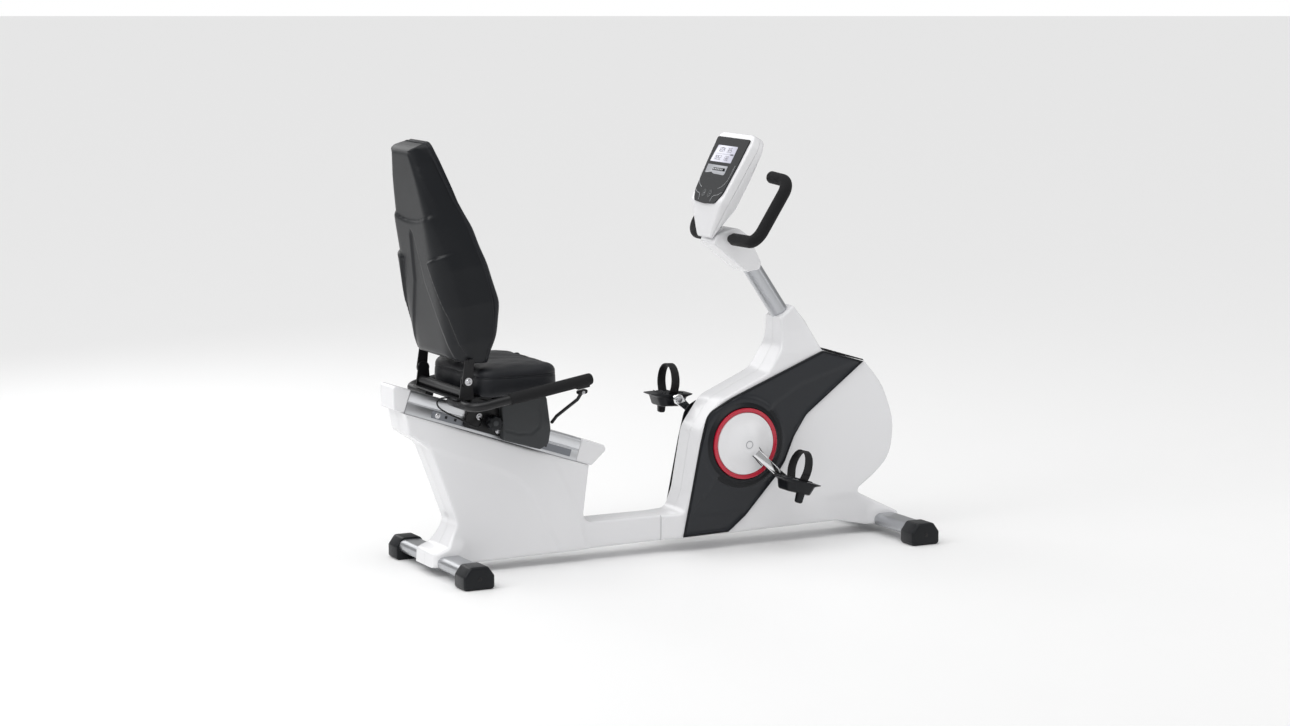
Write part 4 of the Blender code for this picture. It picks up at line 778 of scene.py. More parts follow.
# ---------------------------------------------------------------- pedals
def add_pedals():
    """Each pedal about its own axis: body, counterweight, tread ribs, strap and studs."""
    for side_name, side in SIDES.items():
        origin = crank_eye(side)
        tilt = 16.0 if side < 0 else 3.0
        body = "pedal_" + side_name
        plate = rounded([(-0.079, 0.011, 0.0015), (-0.052, 0.002, 0.010), (-0.040, -0.028, 0.008),
                         (0.040, -0.028, 0.008), (0.052, 0.002, 0.010), (0.079, 0.011, 0.0015),
                         (0.046, 0.0135, 0.006), (-0.046, 0.0135, 0.006)], 14.0)
        scales = [
            (0.1440, 0.58), (0.1448, 0.64), (0.1500, 0.82), (0.1560, 0.93), (0.1620, 0.985), (0.1680, 1.0),
            (0.2160, 1.0), (0.2230, 0.96), (0.2290, 0.88), (0.2350, 0.75), (0.2392, 0.64), (0.2400, 0.58)
        ]
        rings = [[(a * scale, side * y, b * (0.6 + 0.4 * scale)) for a, b in plate] for y, scale in scales]
        verts, faces = join_rings(rings)
        piece(
            "pedal_look_" + side_name, verts, faces, "black_plastic", body, ["pedal_" + side_name], origin,
            tilt, 38.0
        )
        weight = rounded(
            [(-0.013, -0.012, 0), (-0.0105, -0.056, 0.007), (0.0105, -0.056, 0.007), (0.013, -0.012, 0)]
        )
        low, high = band(side, 0.2230, 0.2385)
        slab(
            "pedal_weight_" + side_name, weight, low, high, 0.002, "black_plastic", body, (), origin=origin,
            tilt=tilt
        )
        for number in range(7):
            x = -0.036 + 0.012 * number
            low, high = band(side, 0.160, 0.222)
            rib = rounded([(x - 0.0022, 0.0128, 0.0), (x + 0.0022, 0.0128, 0.0), (x + 0.0016, 0.0162, 0.0008),
                           (x - 0.0016, 0.0162, 0.0008)], 30.0)
            slab(f"pedal_tread_{side_name}_{number}", rib, low, high, 0.0006, "black_plastic", body, (),
                 origin=origin, tilt=tilt)
        route = smooth_route(
            [
                (0.0, 0.1530, 0.0125), (0.0, 0.1440, 0.0380), (0.0, 0.1440, 0.0600), (0.0, 0.1530, 0.0820),
                (0.0, 0.1700, 0.0980), (0.0, 0.1920, 0.1040), (0.0, 0.2140, 0.0980), (0.0, 0.2310, 0.0820),
                (0.0, 0.2390, 0.0600), (0.0, 0.2390, 0.0380), (0.0, 0.2300, 0.0125)
            ], 5
        )
        widths = np.interp(np.linspace(0, 1, len(route)), [0, 0.12, 0.35, 0.5, 0.65, 0.88, 1],
                           [0.0145, 0.0140, 0.0130, 0.0125, 0.0130, 0.0140, 0.0145])
        rings = []
        for index, point in enumerate(route):
            before, after = route[max(index - 1, 0)], route[min(index + 1, len(route) - 1)]
            ahead = (after - before).normalized()
            normal = Vector((0.0, -ahead.z, ahead.y))
            half = widths[index]
            section = [
                (-half, 0.0002), (-half + 0.0006, 0.0), (half - 0.0006, 0.0), (half, 0.0002), (half, -0.0026),
                (half - 0.0006, -0.0030), (-half + 0.0006, -0.0030), (-half, -0.0026)
            ]
            ridge = 0.0005 if index % 4 == 2 and 6 < index < len(route) - 6 else 0.0
            ring = []
            for a, b in section:
                lifted = b + (ridge if b > -0.001 else 0.0)
                at = point + normal * lifted
                ring.append((a, side * at.y, at.z))
            rings.append(ring)
        verts, faces = join_rings(rings)
        piece(
            "strap_look_" + side_name, verts, faces, "strap_rubber", body, ["pedal_strap_" + side_name],
            origin, tilt, 35.0
        )
        for number in range(4):
            x = -0.0105 + 0.007 * number
            low, high = band(side, 0.2382, 0.2408)
            pill = [(x + a, 0.033 + b) for a, b in stadium(0.0014, 0.0035)]
            slab(f"strap_stud_{side_name}_{number}", pill, low, high, 0.0005, "black_plastic", body, (),
                 origin=origin, tilt=tilt)


# ---------------------------------------------------------------- frame parts
def add_feet():
    """Stabiliser tubes with their end caps, and a screw in each cap's end face."""
    half = 0.0974 / 2
    block = rounded(
        [
            (-half, 0.0, 0.010), (half, 0.0, 0.010), (half, 0.040, 0.012), (half * 0.58, 0.068, 0.014),
            (-half * 0.58, 0.068, 0.014), (-half, 0.040, 0.012)
        ]
    )
    for end, x, span in (("rear", -0.692, 0.577), ("front", LENGTH_END - half, 0.638)):
        inner = span / 2 - 0.0719
        for side_name, side in SIDES.items():
            levels = [(inner, 0.0018), (inner + 0.0005, 0.0006), (inner + 0.0018, 0.0)]
            levels += [(span / 2 - drop, amount) for amount, drop in round_edge(0.0085, 6)]
            rings = [[(x + a, side * y, b) for a, b in inset(block, amount)] for y, amount in levels]
            verts, faces = join_rings(rings)
            node = f"foot_cap_{end}_{side_name}"
            piece(node + "_look", verts, faces, "black_plastic", "base", [node], sharp=40.0)
            screw = [(0.0062, span / 2 - 0.0006), (0.0062, span / 2 + 0.0006), (0.0050, span / 2 + 0.0012),
                     (0.0022, span / 2 + 0.0012), (0.0018, span / 2 + 0.0002)]
            verts, faces = turned(screw, 28, (x, 0.0, 0.032), side)
            piece(f"foot_screw_{end}_{side_name}", verts, faces, "black_steel", "base")
        rings = [
            [(x + a, y, 0.042 + b) for a, b in stadium(0.040, 0.020)] for y in (-inner - 0.001, inner + 0.001)
        ]
        verts, faces = join_rings(rings)
        node = end + "_stabiliser"
        piece(node + "_look", verts, faces, "silver_tube", "base", [node])


def on_rail(along, above):
    """World x and z of a place along and above the rail."""
    cos, sin = math.cos(math.radians(RAIL_ANGLE)), math.sin(math.radians(RAIL_ANGLE))
    return RAIL_ORIGIN[0] + along * cos + above * sin, RAIL_ORIGIN[2] - along * sin + above * cos


def add_rail():
    """The rail as (half width, height) section, its end caps, and the index strip with its holes and bolt."""
    length, half, deep = RAIL_LENGTH, RAIL_HALF_WIDTH, RAIL_DEPTH
    profile = [(half - 0.0085, 0.0), (half - 0.004, -0.0018), (half - 0.0012, -0.0050), (half, -0.0095),
               (half, -0.0320), (half - 0.0010, -0.0334), (half - 0.0032, -0.0346), (half - 0.0032, -0.0362),
               (half - 0.0010, -0.0374), (half, -0.0386), (half, -deep + 0.001), (half - 0.001, -deep)]
    section = profile + [(-y, h) for y, h in reversed(profile)]
    verts, faces = join_rings([[(s, y, h) for y, h in section] for s in (0.0, length)])
    piece("rail_look", verts, faces, "rail_aluminium", "base", ["seat_rail"], RAIL_ORIGIN, RAIL_ANGLE, 40.0)
    rear = rounded([(-GAP, 0.0, 0), (-0.0619, 0.0, 0.010), (-0.0367, -deep, 0.006), (-GAP, -deep, 0)])
    front = rounded(
        [
            (length + GAP, -deep, 0), (0.642, -deep, 0.012), (0.676, -0.012, 0.012), (0.664, 0.0, 0.006),
            (length + GAP, 0.0, 0)
        ]
    )
    wide = half + 0.0012
    for node, outline in (("rail_cap_rear", rear), ("rail_cap_front", front)):
        slab(node + "_look", outline, -wide, wide, 0.005, "white_shell", "base", [node], origin=RAIL_ORIGIN,
             tilt=RAIL_ANGLE, sharp=50.0)
    strip = refine("index_strip", "base", 0.0004)
    strip.data.materials[0] = STRIP
    x, z = on_rail(0.103, -0.0500)
    # a flat head, because the carriage slides over it with its inner face at y = 0.0565
    bolt("index_bolt", "base", x, 0.0517, z, 0.0058, tall=0.70)
    low = -half - 0.0036
    for number in range(12):
        s = 0.131 + 0.031 * number
        square = rounded(
            [
                (s - 0.0042, -0.0525, 0.0006), (s + 0.0042, -0.0525, 0.0006), (s + 0.0042, -0.0441, 0.0006),
                (s - 0.0042, -0.0441, 0.0006)
            ], 30.0
        )
        slab(f"index_pit_{number}", square, low + 0.0006, low + 0.0020, 0.0001, "black_plastic", "base", (),
             origin=RAIL_ORIGIN, tilt=RAIL_ANGLE)


def bolt(name, body, x, y, z, radius, side=-1.0, washer=True, tall=1.0):
    """A button-head bolt with a socket, its axis along Y, on a surface at y."""
    rows = [(radius * 1.45, 0.0), (radius * 1.45, 0.0012)] if washer else [(radius, 0.0)]
    rows += [(radius, 0.0014), (radius, 0.0026), (radius * 0.86, 0.0040), (radius * 0.5, 0.0048),
             (radius * 0.42, 0.0048), (radius * 0.40, 0.0022)]
    rows = [(out, up * tall) for out, up in rows]
    verts, faces = turned(rows, 36, (x, side * y, z), side)
    return piece(name, verts, faces, None, body, finish=BOLT, sharp=35.0)


def add_carriage():
    """The carriage's channel, side covers with a drawn groove, bolts and the lobed clamp knob."""
    refine("seat_carriage", "seat", 0.0012)
    outline = rounded([(-0.522, 0.3965, 0.012), (-0.401, 0.3600, 0.012), (-0.374, 0.3760, 0.014),
                       (-0.3665, 0.4200, 0.040), (-0.3800, 0.5200, 0.012), (-0.470, 0.5200, 0.012),
                       (-0.5270, 0.5000, 0.012)])
    outline = fine(outline, 0.010)
    groove = [
        (-0.515, 0.425), (-0.470, 0.412), (-0.430, 0.410), (-0.404, 0.430), (-0.398, 0.470), (-0.402, 0.515)
    ]

    def height(points, distances):
        away = np.abs(beside(points, groove))
        return 0.0880 - 0.0020 * step_up(0.0045 - away, 0.003) - 0.0016 * step_up(
            beside(points, groove), 0.002
        )

    verts, faces = skin(outline, round_edge(0.0045), height, 0.0613, 0.0040)
    for side_name, side in SIDES.items():
        placed = sided(verts, side)
        piece(
            "carriage_skin_" + side_name, placed, faces, "grey_plastic", "seat",
            ["carriage_cover_" + side_name], sharp=45.0
        )
        bolt("carriage_bolt_a_" + side_name, "seat", -0.588, 0.0606, 0.469, 0.0068, side)
        bolt("carriage_bolt_b_" + side_name, "seat", -0.528, 0.0606, 0.422, 0.0060, side)
    lobes = []
    for radius, y in rounded_profile([(0.0045, 0.0610), (0.0070, 0.0760), (0.0190, 0.0764), (0.0225, 0.0790),
                                      (0.0225, 0.0950), (0.0190, 0.0992), (0.0080, 0.1000)], 0.002):
        ring = []
        for a, b in circle(1.0, 96):
            turn = math.atan2(b, a)
            lobe = radius * (1.0 + (0.055 * math.cos(8 * turn) if radius > 0.015 else 0.0))
            ring.append((-0.552 + a * lobe, -y, 0.452 + b * lobe))
        lobes.append(ring)
    verts, faces = join_rings(lobes)
    piece("knob_look", verts, faces, "black_plastic", "clamp_knob", ["clamp_knob"], sharp=40.0)
    cap = [(0.0085, 0.1000), (0.0085, 0.1006), (0.0070, 0.1010), (0.0010, 0.1011)]
    verts, faces = turned(cap, 36, (-0.552, 0.0, 0.452), -1.0)
    piece("knob_cap", verts, faces, "grey_plastic", "clamp_knob")


# (distance behind the handle's front end, radius)
GRIP_PROFILE = [
    (0.2620, 0.0145), (0.2616, 0.0160), (0.2600, 0.0172), (0.2580, 0.0175), (0.200, 0.0176), (0.140, 0.0176),
    (0.080, 0.0176), (0.020, 0.0176), (0.0030, 0.0175), (-0.0010, 0.0170), (-0.0040, 0.0158),
    (-0.0058, 0.0135), (-0.0065, 0.0100)
]


def add_seat_frame():
    refine("seat_frame", "seat", 0.0006)
    rear, front = Vector((-0.688, 0.526)), Vector((-0.318, 0.5885))
    ahead = (front - rear).normalized()
    for side_name, side in SIDES.items():
        corners = [
            (rear.x, side * 0.120, rear.y), (rear.x, side * 0.250, rear.y), (front.x, side * 0.250, front.y)
        ]
        path = bent(corners, 0.048, 14)
        path[-1] = Vector((front.x - ahead.x * 0.10, side * 0.250, front.y - ahead.y * 0.10))
        verts, faces = sweep(path, circle(0.0137, 32), (0, 0, 1))
        piece("handle_tube_" + side_name, verts, faces, "black_steel", "seat")
        rings = []
        for back, radius in GRIP_PROFILE:
            at = front - ahead * back
            rings.append(
                [(at.x - b * ahead.y, side * 0.250 + a, at.y + b * ahead.x) for a, b in circle(radius, 40)]
            )
        verts, faces = join_rings(rings)
        piece(
            "side_grip_look_" + side_name, verts, faces, "foam_grip", "seat", ["side_grip_" + side_name],
            sharp=50.0
        )
        bolt("hinge_bolt_" + side_name, "seat", HINGE[0], 0.1725, HINGE[2], 0.0080, side)
    refine("backrest_bracket", "backrest", 0.0006)
    rod = bent([(-0.343, -0.2500, 0.5520), (-0.3500, -0.2340, 0.5280), (-0.3685, -0.1300, 0.4650),
                (-0.3700, -0.1000, 0.4420)], 0.012, 8)
    verts, faces = sweep(rod, circle(0.0050, 24), (1, 0, 0))
    piece("lever_rod", verts, faces, "black_steel", "seat_lever", ["seat_lever"], sharp=50.0)
    head = rounded(
        [(-0.358, 0.5430, 0.006), (-0.329, 0.5480, 0.006), (-0.328, 0.5600, 0.004), (-0.357, 0.5560, 0.004)]
    )
    slab("lever_head", head, -0.2600, -0.2400, 0.002, "black_steel", "seat_lever")
    clamp = rounded(
        [(-0.362, 0.5600, 0.003), (-0.322, 0.5660, 0.003), (-0.320, 0.5790, 0.004), (-0.364, 0.5720, 0.004)]
    )
    slab("lever_clamp", clamp, -0.2620, -0.2380, 0.003, "black_steel", "seat")
    bolt("lever_pin", "seat_lever", -0.343, 0.2600, 0.5515, 0.0034, -1.0)


def add_neck():
    """The neck cover and the oval column below it."""
    outline = rounded(
        [
            (0.2045, 0.9440, 0.0075), (0.3240, 0.8500, 0.010), (0.3680, 0.8560, 0.012),
            (0.3740, 0.8760, 0.012), (0.3300, 0.9600, 0.040), (0.2900, 0.9880, 0.030), (0.2430, 0.9790, 0.0),
            (0.2160, 0.9690, 0.0075)
        ]
    )
    slab("neck_look", outline, -0.047, 0.047, 0.0065, "white_shell", "base", ["neck_cover"], sharp=50.0)
    path = [Vector((0.510, 0.0, 0.6444)), Vector((0.330, 0.0, 0.9067))]
    verts, faces = sweep(path, circle(0.034, 64, 0.0275), (0, 0, 1))
    piece("column_look", verts, faces, "silver_tube", "base", ["column_tube"])


def add_handlebar():
    x, _, z = HANDLEBAR_AXIS
    up = (-0.85, 0.0, 0.53)

    def half_bar(side, start):
        corners = [
            start, (x, side * 0.205, z + 0.002), (0.380, side * 0.205, 1.137), (0.374, side * 0.104, 1.144)
        ]
        return bent(corners, 0.042, 14)

    halves = [half_bar(side, (x, 0.0, z)) for side in (-1.0, 1.0)]
    path = halves[0][:-1][::-1] + halves[1][1:-1]
    verts, faces = sweep(path, circle(0.0126, 36), up)
    piece("handlebar_look", verts, faces, "black_steel", "handlebar", ["handlebar_tube"])
    for side_name, side in SIDES.items():
        route = half_bar(side, (x, side * 0.064, z + 0.0006))
        first = (route[1] - route[0]).normalized()
        last = (route[-1] - route[-2]).normalized()
        head = [route[0], route[0] + first * 0.0008, route[0] + first * 0.0028]
        tail = [route[-1], route[-1] + last * 0.0030, route[-1] + last * 0.0052, route[-1] + last * 0.0065]
        full = head + route[1:-1] + tail
        scales = [0.80, 0.94, 1.0] + [1.0] * (len(route) - 2) + [1.0, 0.94, 0.80, 0.60]
        verts, faces = sweep(full, circle(0.0190, 40), up, scales)
        piece("handlebar_grip_look_" + side_name, verts, faces, "foam_grip", "handlebar",
              ["handlebar_grip_" + side_name], sharp=60.0)


# ---------------------------------------------------------------- console
def chin(z):
    """How far the console's lower front draws back."""
    return 0.45 * np.maximum(0.0, 0.050 - z)


def console_outline():
    half = [(-0.042, -0.0485, 0.013), (-0.066, -0.006, 0.040), (-0.098, 0.056, 0.040), (-0.118, 0.245, 0.060),
            (-0.104, 0.284, 0.026)]
    return fine(rounded(half + [(-y, z, radius) for y, z, radius in reversed(half)]), 0.009)


def console_split(z):
    """Where the console's front and rear cases meet."""
    return -0.044 + 0.55 * chin(z)


def add_console():
    outline = console_outline()
    at = {"origin": CONSOLE_PIVOT, "tilt": CONSOLE_TILT}

    def front_height(points, distances):
        return 0.070 - chin(points[:, 1]) + 0.0012 * step_up(distances - 0.010, 0.010)

    def rear_height(points, distances):
        rows = [(-0.0485, -0.0105), (0.0, -0.0125), (0.050, -0.0105), (0.160, -0.0140), (0.290, -0.0260)]
        return table(rows, points[:, 1])

    for label, height, sign, edge, node in (
        ("console_face", front_height, -1.0, round_edge(0.0065), "console_front"),
        ("console_back", rear_height, 1.0, round_edge(0.0110), "console_rear"),
    ):
        verts, faces = skin(outline, edge, height, 0.0, 0.0065)
        x = sign * verts[:, 2]
        wall = np.abs(verts[:, 2]) < 1e-9
        x = np.where(wall, console_split(verts[:, 1]) + sign * GAP, x)
        placed = np.stack([x, verts[:, 0], verts[:, 1]], axis=1)
        piece(label, placed, faces, "white_shell", "console", [node], sharp=50.0, **at)
    fork = []
    for turn in range(-20, 201, 10):
        fork.append((0.0085 * math.cos(math.radians(-turn)), -0.0085 * math.sin(math.radians(-turn))))
    fork += [(-0.010, -0.024), (0.010, -0.024)]
    for side_name, side in SIDES.items():
        low, high = band(side, 0.0188, 0.0262)
        slab("neck_fork_" + side_name, fork, low, high, 0.0010, "white_shell", "base", (),
             centre=(CONSOLE_PIVOT[0], CONSOLE_PIVOT[2]))
    slab("console_knuckle", circle(0.0084, 32), -0.0182, 0.0182, 0.0008, "white_shell", "console", (),
         centre=(CONSOLE_PIVOT[0], CONSOLE_PIVOT[2]))
    face = -0.0718
    panel = rounded(
        [
            (-0.066, 0.046, 0.020), (0.0, 0.041, 0.10), (0.066, 0.046, 0.020), (0.088, 0.080, 0.030),
            (0.0985, 0.180, 0.20), (0.103, 0.2640, 0.007), (-0.103, 0.2640, 0.007), (-0.0985, 0.180, 0.20),
            (-0.088, 0.080, 0.030)
        ]
    )
    plate(panel, face, 0.0022, "console_panel_look", "black_plastic", "console", ["console_panel"], INK)
    plate(
        rounded(
            [
                (-0.044, 0.1385, 0.006), (0.026, 0.1400, 0.006), (0.040, 0.1450, 0.006),
                (0.078, 0.1400, 0.004), (0.0815, 0.1695, 0.003), (-0.044, 0.1690, 0.003)
            ]
        ), face - 0.0022, 0.0005, "icon_plate", None, "console", (), LIGHT_PANEL
    )
    plate(
        rounded(
            [
                (-0.0390, 0.1510, 0.002), (0.0420, 0.1515, 0.002), (0.0380, 0.1605, 0.002),
                (-0.0350, 0.1610, 0.002)
            ]
        ), face - 0.0027, 0.0004, "icon_window", None, "console", (), INK
    )
    plate(
        rounded(
            [
                (-0.0500, 0.1800, 0.003), (0.0800, 0.1800, 0.003), (0.0730, 0.2355, 0.003),
                (-0.0500, 0.2355, 0.003)
            ]
        ), face - 0.0022, 0.0006, "display_look", "display_glass", "console", ["display_window"]
    )
    add_digits(face - 0.0029)
    add_legend(face - 0.00235)
    button_z = 0.0745
    for label, y in (("minus", -0.012), ("plus", 0.024)):
        pill = [(y + a, button_z + b) for a, b in stadium(0.0113, 0.0128)]
        edge = [(0.0, 0.0008), (0.0003, 0.0003), (0.0010, 0.0)]

        def height(points, distances, y=y):
            away = np.hypot(points[:, 0] - y, (points[:, 1] - button_z) * 0.9)
            return 0.0750 - 0.0012 * step_up(0.0100 - away, 0.006)

        verts, faces = skin(pill, edge, height, 0.0727, 0.0022)
        placed = np.stack([-verts[:, 2], verts[:, 0], verts[:, 1]], axis=1)
        body = "button_" + label
        piece(body + "_look", placed, faces, "grey_plastic", body, [body], sharp=50.0, **at)
        bars = [((y - 0.0035, 0.0739), (y + 0.0035, 0.0751))]
        if label == "plus":
            bars.append(((y - 0.0006, 0.0710), (y + 0.0006, 0.0780)))
        for number, (low, high) in enumerate(bars):
            square = [(low[0], low[1]), (high[0], low[1]), (high[0], high[1]), (low[0], high[1])]
            plate(square, -0.0737, 0.0005, f"{body}_mark_{number}", None, body, (), LEGEND)


def plate(outline, face, thickness, name, slot, body, instead=(), finish=None):
    """A thin plate on the console's face, in the console's own axes."""
    rings = []
    for depth, amount in ((0.0, 0.0), (thickness * 0.75, 0.0), (thickness, min(0.0006, thickness * 0.4))):
        rings.append([(face - depth, a, b) for a, b in inset(outline, amount)])
    verts, faces = join_rings(rings)
    return piece(name, verts, faces, slot, body, instead, CONSOLE_PIVOT, CONSOLE_TILT, 40.0, finish)


def box_cells(cells, face, depth):
    """Boxes on the console's face from (low a, low b, high a, high b) cells, as one mesh."""
    verts, faces = [], []
    for a0, b0, a1, b1 in cells:
        start = len(verts)
        for x in (face, face - depth):
            verts += [(x, a0, b0), (x, a1, b0), (x, a1, b1), (x, a0, b1)]
        faces += [tuple(start + index for index in cell) for cell in (
            (0, 1, 2, 3), (4, 5, 6, 7), (0, 1, 5, 4), (1, 2, 6, 5), (2, 3, 7, 6), (3, 0, 4, 7))]
    return verts, faces


SEGMENTS = {"0": "abcdef", "1": "bc", "2": "abged", "3": "abgcd", "4": "fgbc", "5": "afgcd", "8": "abcdefg"}


def add_digits(face):
    """Seven-segment figures on the display. Looking at the face, +Y is on the left."""
    cells = []

    def figure(left, foot, wide, tall, text):
        bar = wide * 0.16
        for number, sign in enumerate(text):
            start = left - number * wide * 1.35
            middle = foot + tall / 2
            places = {
                "a": (start - wide, foot + tall - bar, start, foot + tall),
                "b": (start - wide, middle, start - wide + bar, foot + tall),
                "c": (start - wide, foot, start - wide + bar, middle),
                "d": (start - wide, foot, start, foot + bar),
                "e": (start - bar, foot, start, middle),
                "f": (start - bar, middle, start, foot + tall),
                "g": (start - wide, middle - bar / 2, start, middle + bar / 2),
            }
            for key in SEGMENTS[sign]:
                a0, b0, a1, b1 = places[key]
                cells.append((a0 + 0.0002, b0 + 0.0002, a1 - 0.0002, b1 - 0.0002))

    for left, foot, text in ((0.058, 0.2140, "1204"), (0.004, 0.2140, "305"), (0.060, 0.1865, "0052"),
                             (0.006, 0.1865, "138")):
        figure(left, foot, 0.0075, 0.0150, text)
    for number in range(9):
        tall = 0.003 + 0.0012 * ((number * 5) % 7)
        cells.append((-0.046 + number * 0.0022, 0.2050, -0.0446 + number * 0.0022, 0.2050 + tall * 0.6))
    cells.append((-0.046, 0.2070, 0.070, 0.2074))
    verts, faces = box_cells(cells, face, 0.00025)
    piece("display_figures", verts, faces, None, "console", (), CONSOLE_PIVOT, CONSOLE_TILT, 30.0, INK)
    icons = [(0.030 - number * 0.0105, 0.1535, 0.0365 - number * 0.0105, 0.1585) for number in range(6)]
    verts, faces = box_cells(icons, face - 0.0003, 0.0002)
    piece("icon_marks", verts, faces, None, "console", (), CONSOLE_PIVOT, CONSOLE_TILT, 30.0, LEGEND)


def add_legend(face):
    """Thin printed curves beside and below the buttons."""
    lines = [
        [(0.098, 0.150), (0.0955, 0.132), (0.088, 0.112), (0.070, 0.098), (0.054, 0.092)],
        [(-0.085, 0.176), (-0.084, 0.150), (-0.080, 0.124), (-0.066, 0.104), (-0.045, 0.094)],
        [(0.088, 0.084), (0.070, 0.075), (0.052, 0.071), (0.044, 0.062), (0.040, 0.050)],
        [(-0.080, 0.084), (-0.062, 0.074), (-0.042, 0.070), (-0.034, 0.060), (-0.034, 0.050)],
    ]
    verts, faces = [], []
    for line in lines:
        route = smooth_route([(a, b, 0.0) for a, b in line], 6)
        rings = []
        for index, point in enumerate(route):
            ahead = (route[min(index + 1, len(route) - 1)] - route[max(index - 1, 0)]).normalized()
            side = Vector((-ahead.y, ahead.x, 0.0)) * 0.00055
            low, high = point - side, point + side
            rings.append([(face, low.x, low.y), (face, high.x, high.y), (face - 0.0003, high.x, high.y),
                          (face - 0.0003, low.x, low.y)])
        more, cells = join_rings(rings)
        start = len(verts)
        verts += more
        faces += [tuple(start + index for index in cell) for cell in cells]
    piece("legend_lines", verts, faces, None, "console", (), CONSOLE_PIVOT, CONSOLE_TILT, 30.0, LEGEND)


# ---------------------------------------------------------------- seat and backrest
def add_cushion():
    """A crowned cushion: (height, inset) levels up the side with a seam, then a meshed top."""
    plan = fine(
        rounded(
            [
                (-0.637, -0.190, 0.045), (-0.377, -0.190, 0.065), (-0.377, 0.190, 0.065),
                (-0.637, 0.190, 0.045)
            ], 6.0
        ), 0.010
    )
    seam = 0.600
    levels = [(0.5440, 0.012), (0.5455, 0.0060), (0.5500, 0.0020), (0.5600, -0.0005), (0.5750, -0.0012),
              (0.5900, -0.0004), (0.5965, 0.0008), (0.5990, 0.0026), (seam, 0.0030), (0.6010, 0.0026),
              (0.6035, 0.0008), (0.6090, 0.0014), (0.6150, 0.0040), (0.6205, 0.0086), (0.6250, 0.0150),
              (0.6282, 0.0225), (0.6304, 0.0310)]
    rings = [[(x, y, z) for x, y in inset(plan, amount)] for z, amount in levels]
    verts, faces = join_rings(rings)
    faces = [faces[-2]] + faces[:-2]
    last = [(x, y) for x, y, _ in rings[-1]]
    pitch = 0.008
    grid = face_grid(last, (-0.64, -0.19), (-0.37, 0.191), pitch, pitch, pitch * 0.4)
    flat, cells = triangles(last + [tuple(point) for point in grid], [list(range(len(last)))])
    away = border_distance(flat, last)
    crown = 0.6304 + 0.0042 * (1.0 - np.exp(-away / 0.022))
    dip = 0.0040 * np.exp(-(np.abs(flat[:, 1]) / 0.055) ** 2) * np.exp(-((flat[:, 0] + 0.53) / 0.10) ** 2)
    start = len(verts)
    verts = list(verts) + [(x, y, z) for (x, y), z in zip(flat, crown - dip)]
    faces += [tuple(start + index for index in cell) for cell in cells]
    made = piece("cushion_look", verts, faces, "leatherette", "seat", ["seat_cushion"], sharp=70.0)
    fold(made, 0.0009, 24.0)
    route = [(x, y, seam) for x, y in inset(plan, 0.0022)]
    bead(route, 0.0019, "cushion_piping", "seat")


def fold(made, amount, scale):
    """Soft, shallow unevenness of a stuffed cover, made from smooth waves."""
    mesh = made.data
    for vert in mesh.vertices:
        x, y, z = vert.co
        wave = math.sin(scale * x * 2.3 + 3.0 * math.sin(scale * y)) * math.cos(scale * y * 1.7 + scale * z)
        wave += 0.5 * math.sin(scale * 3.1 * y + scale * 1.9 * x + 1.3) * math.cos(scale * 2.7 * z)
        vert.co = vert.co + vert.normal * amount * wave


def bead(route, radius, name, body, origin=None, tilt=0.0):
    """A closed round bead along a route of points."""
    rings = []
    count = len(route)
    for index, point in enumerate(route):
        before, after = Vector(route[index - 1]), Vector(route[(index + 1) % count])
        ahead = (after - before).normalized()
        helper = Vector((0.0, 0.0, 1.0)) if abs(ahead.z) < 0.9 else Vector((1.0, 0.0, 0.0))
        across = ahead.cross(helper).normalized()
        upward = across.cross(ahead)
        rings.append([tuple(Vector(point) + across * a + upward * b) for a, b in circle(radius, 10)])
    verts, faces = join_rings(rings, closed=True)
    return piece(name, verts, faces, "leatherette", body, (), origin, tilt, 60.0)


# Backrest in its own axes: (height, half width), then the depths of the shell's edge and the pad's face
BACK_HALF = [
    (0.042, 0.184), (0.110, 0.205), (0.220, 0.207), (0.330, 0.194), (0.450, 0.165), (0.560, 0.132),
    (0.640, 0.104)
]
BACK_SPLIT = [
    (0.06, 0.064), (0.12, 0.086), (0.21, 0.102), (0.30, 0.098), (0.43, 0.080), (0.56, 0.062), (0.70, 0.040)
]
BACK_FRONT = [
    (0.06, 0.080), (0.12, 0.108), (0.21, 0.134), (0.34, 0.121), (0.43, 0.110), (0.54, 0.080), (0.70, 0.052)
]


def back_outline():
    right = [(-half, height, 0.030 if height in (0.042, 0.640) else 0.10) for height, half in BACK_HALF]
    crown = [(-0.078, 0.6950, 0.030)]
    return fine(
        rounded(right + crown + [(-y, z, radius) for y, z, radius in reversed(right + crown)], 7.0), 0.010
    )


def soft_table(rows, value):
    """A table read with its corners smoothed."""
    return (table(rows, value - 0.018) + table(rows, value) * 2.0 + table(rows, value + 0.018)) / 4.0


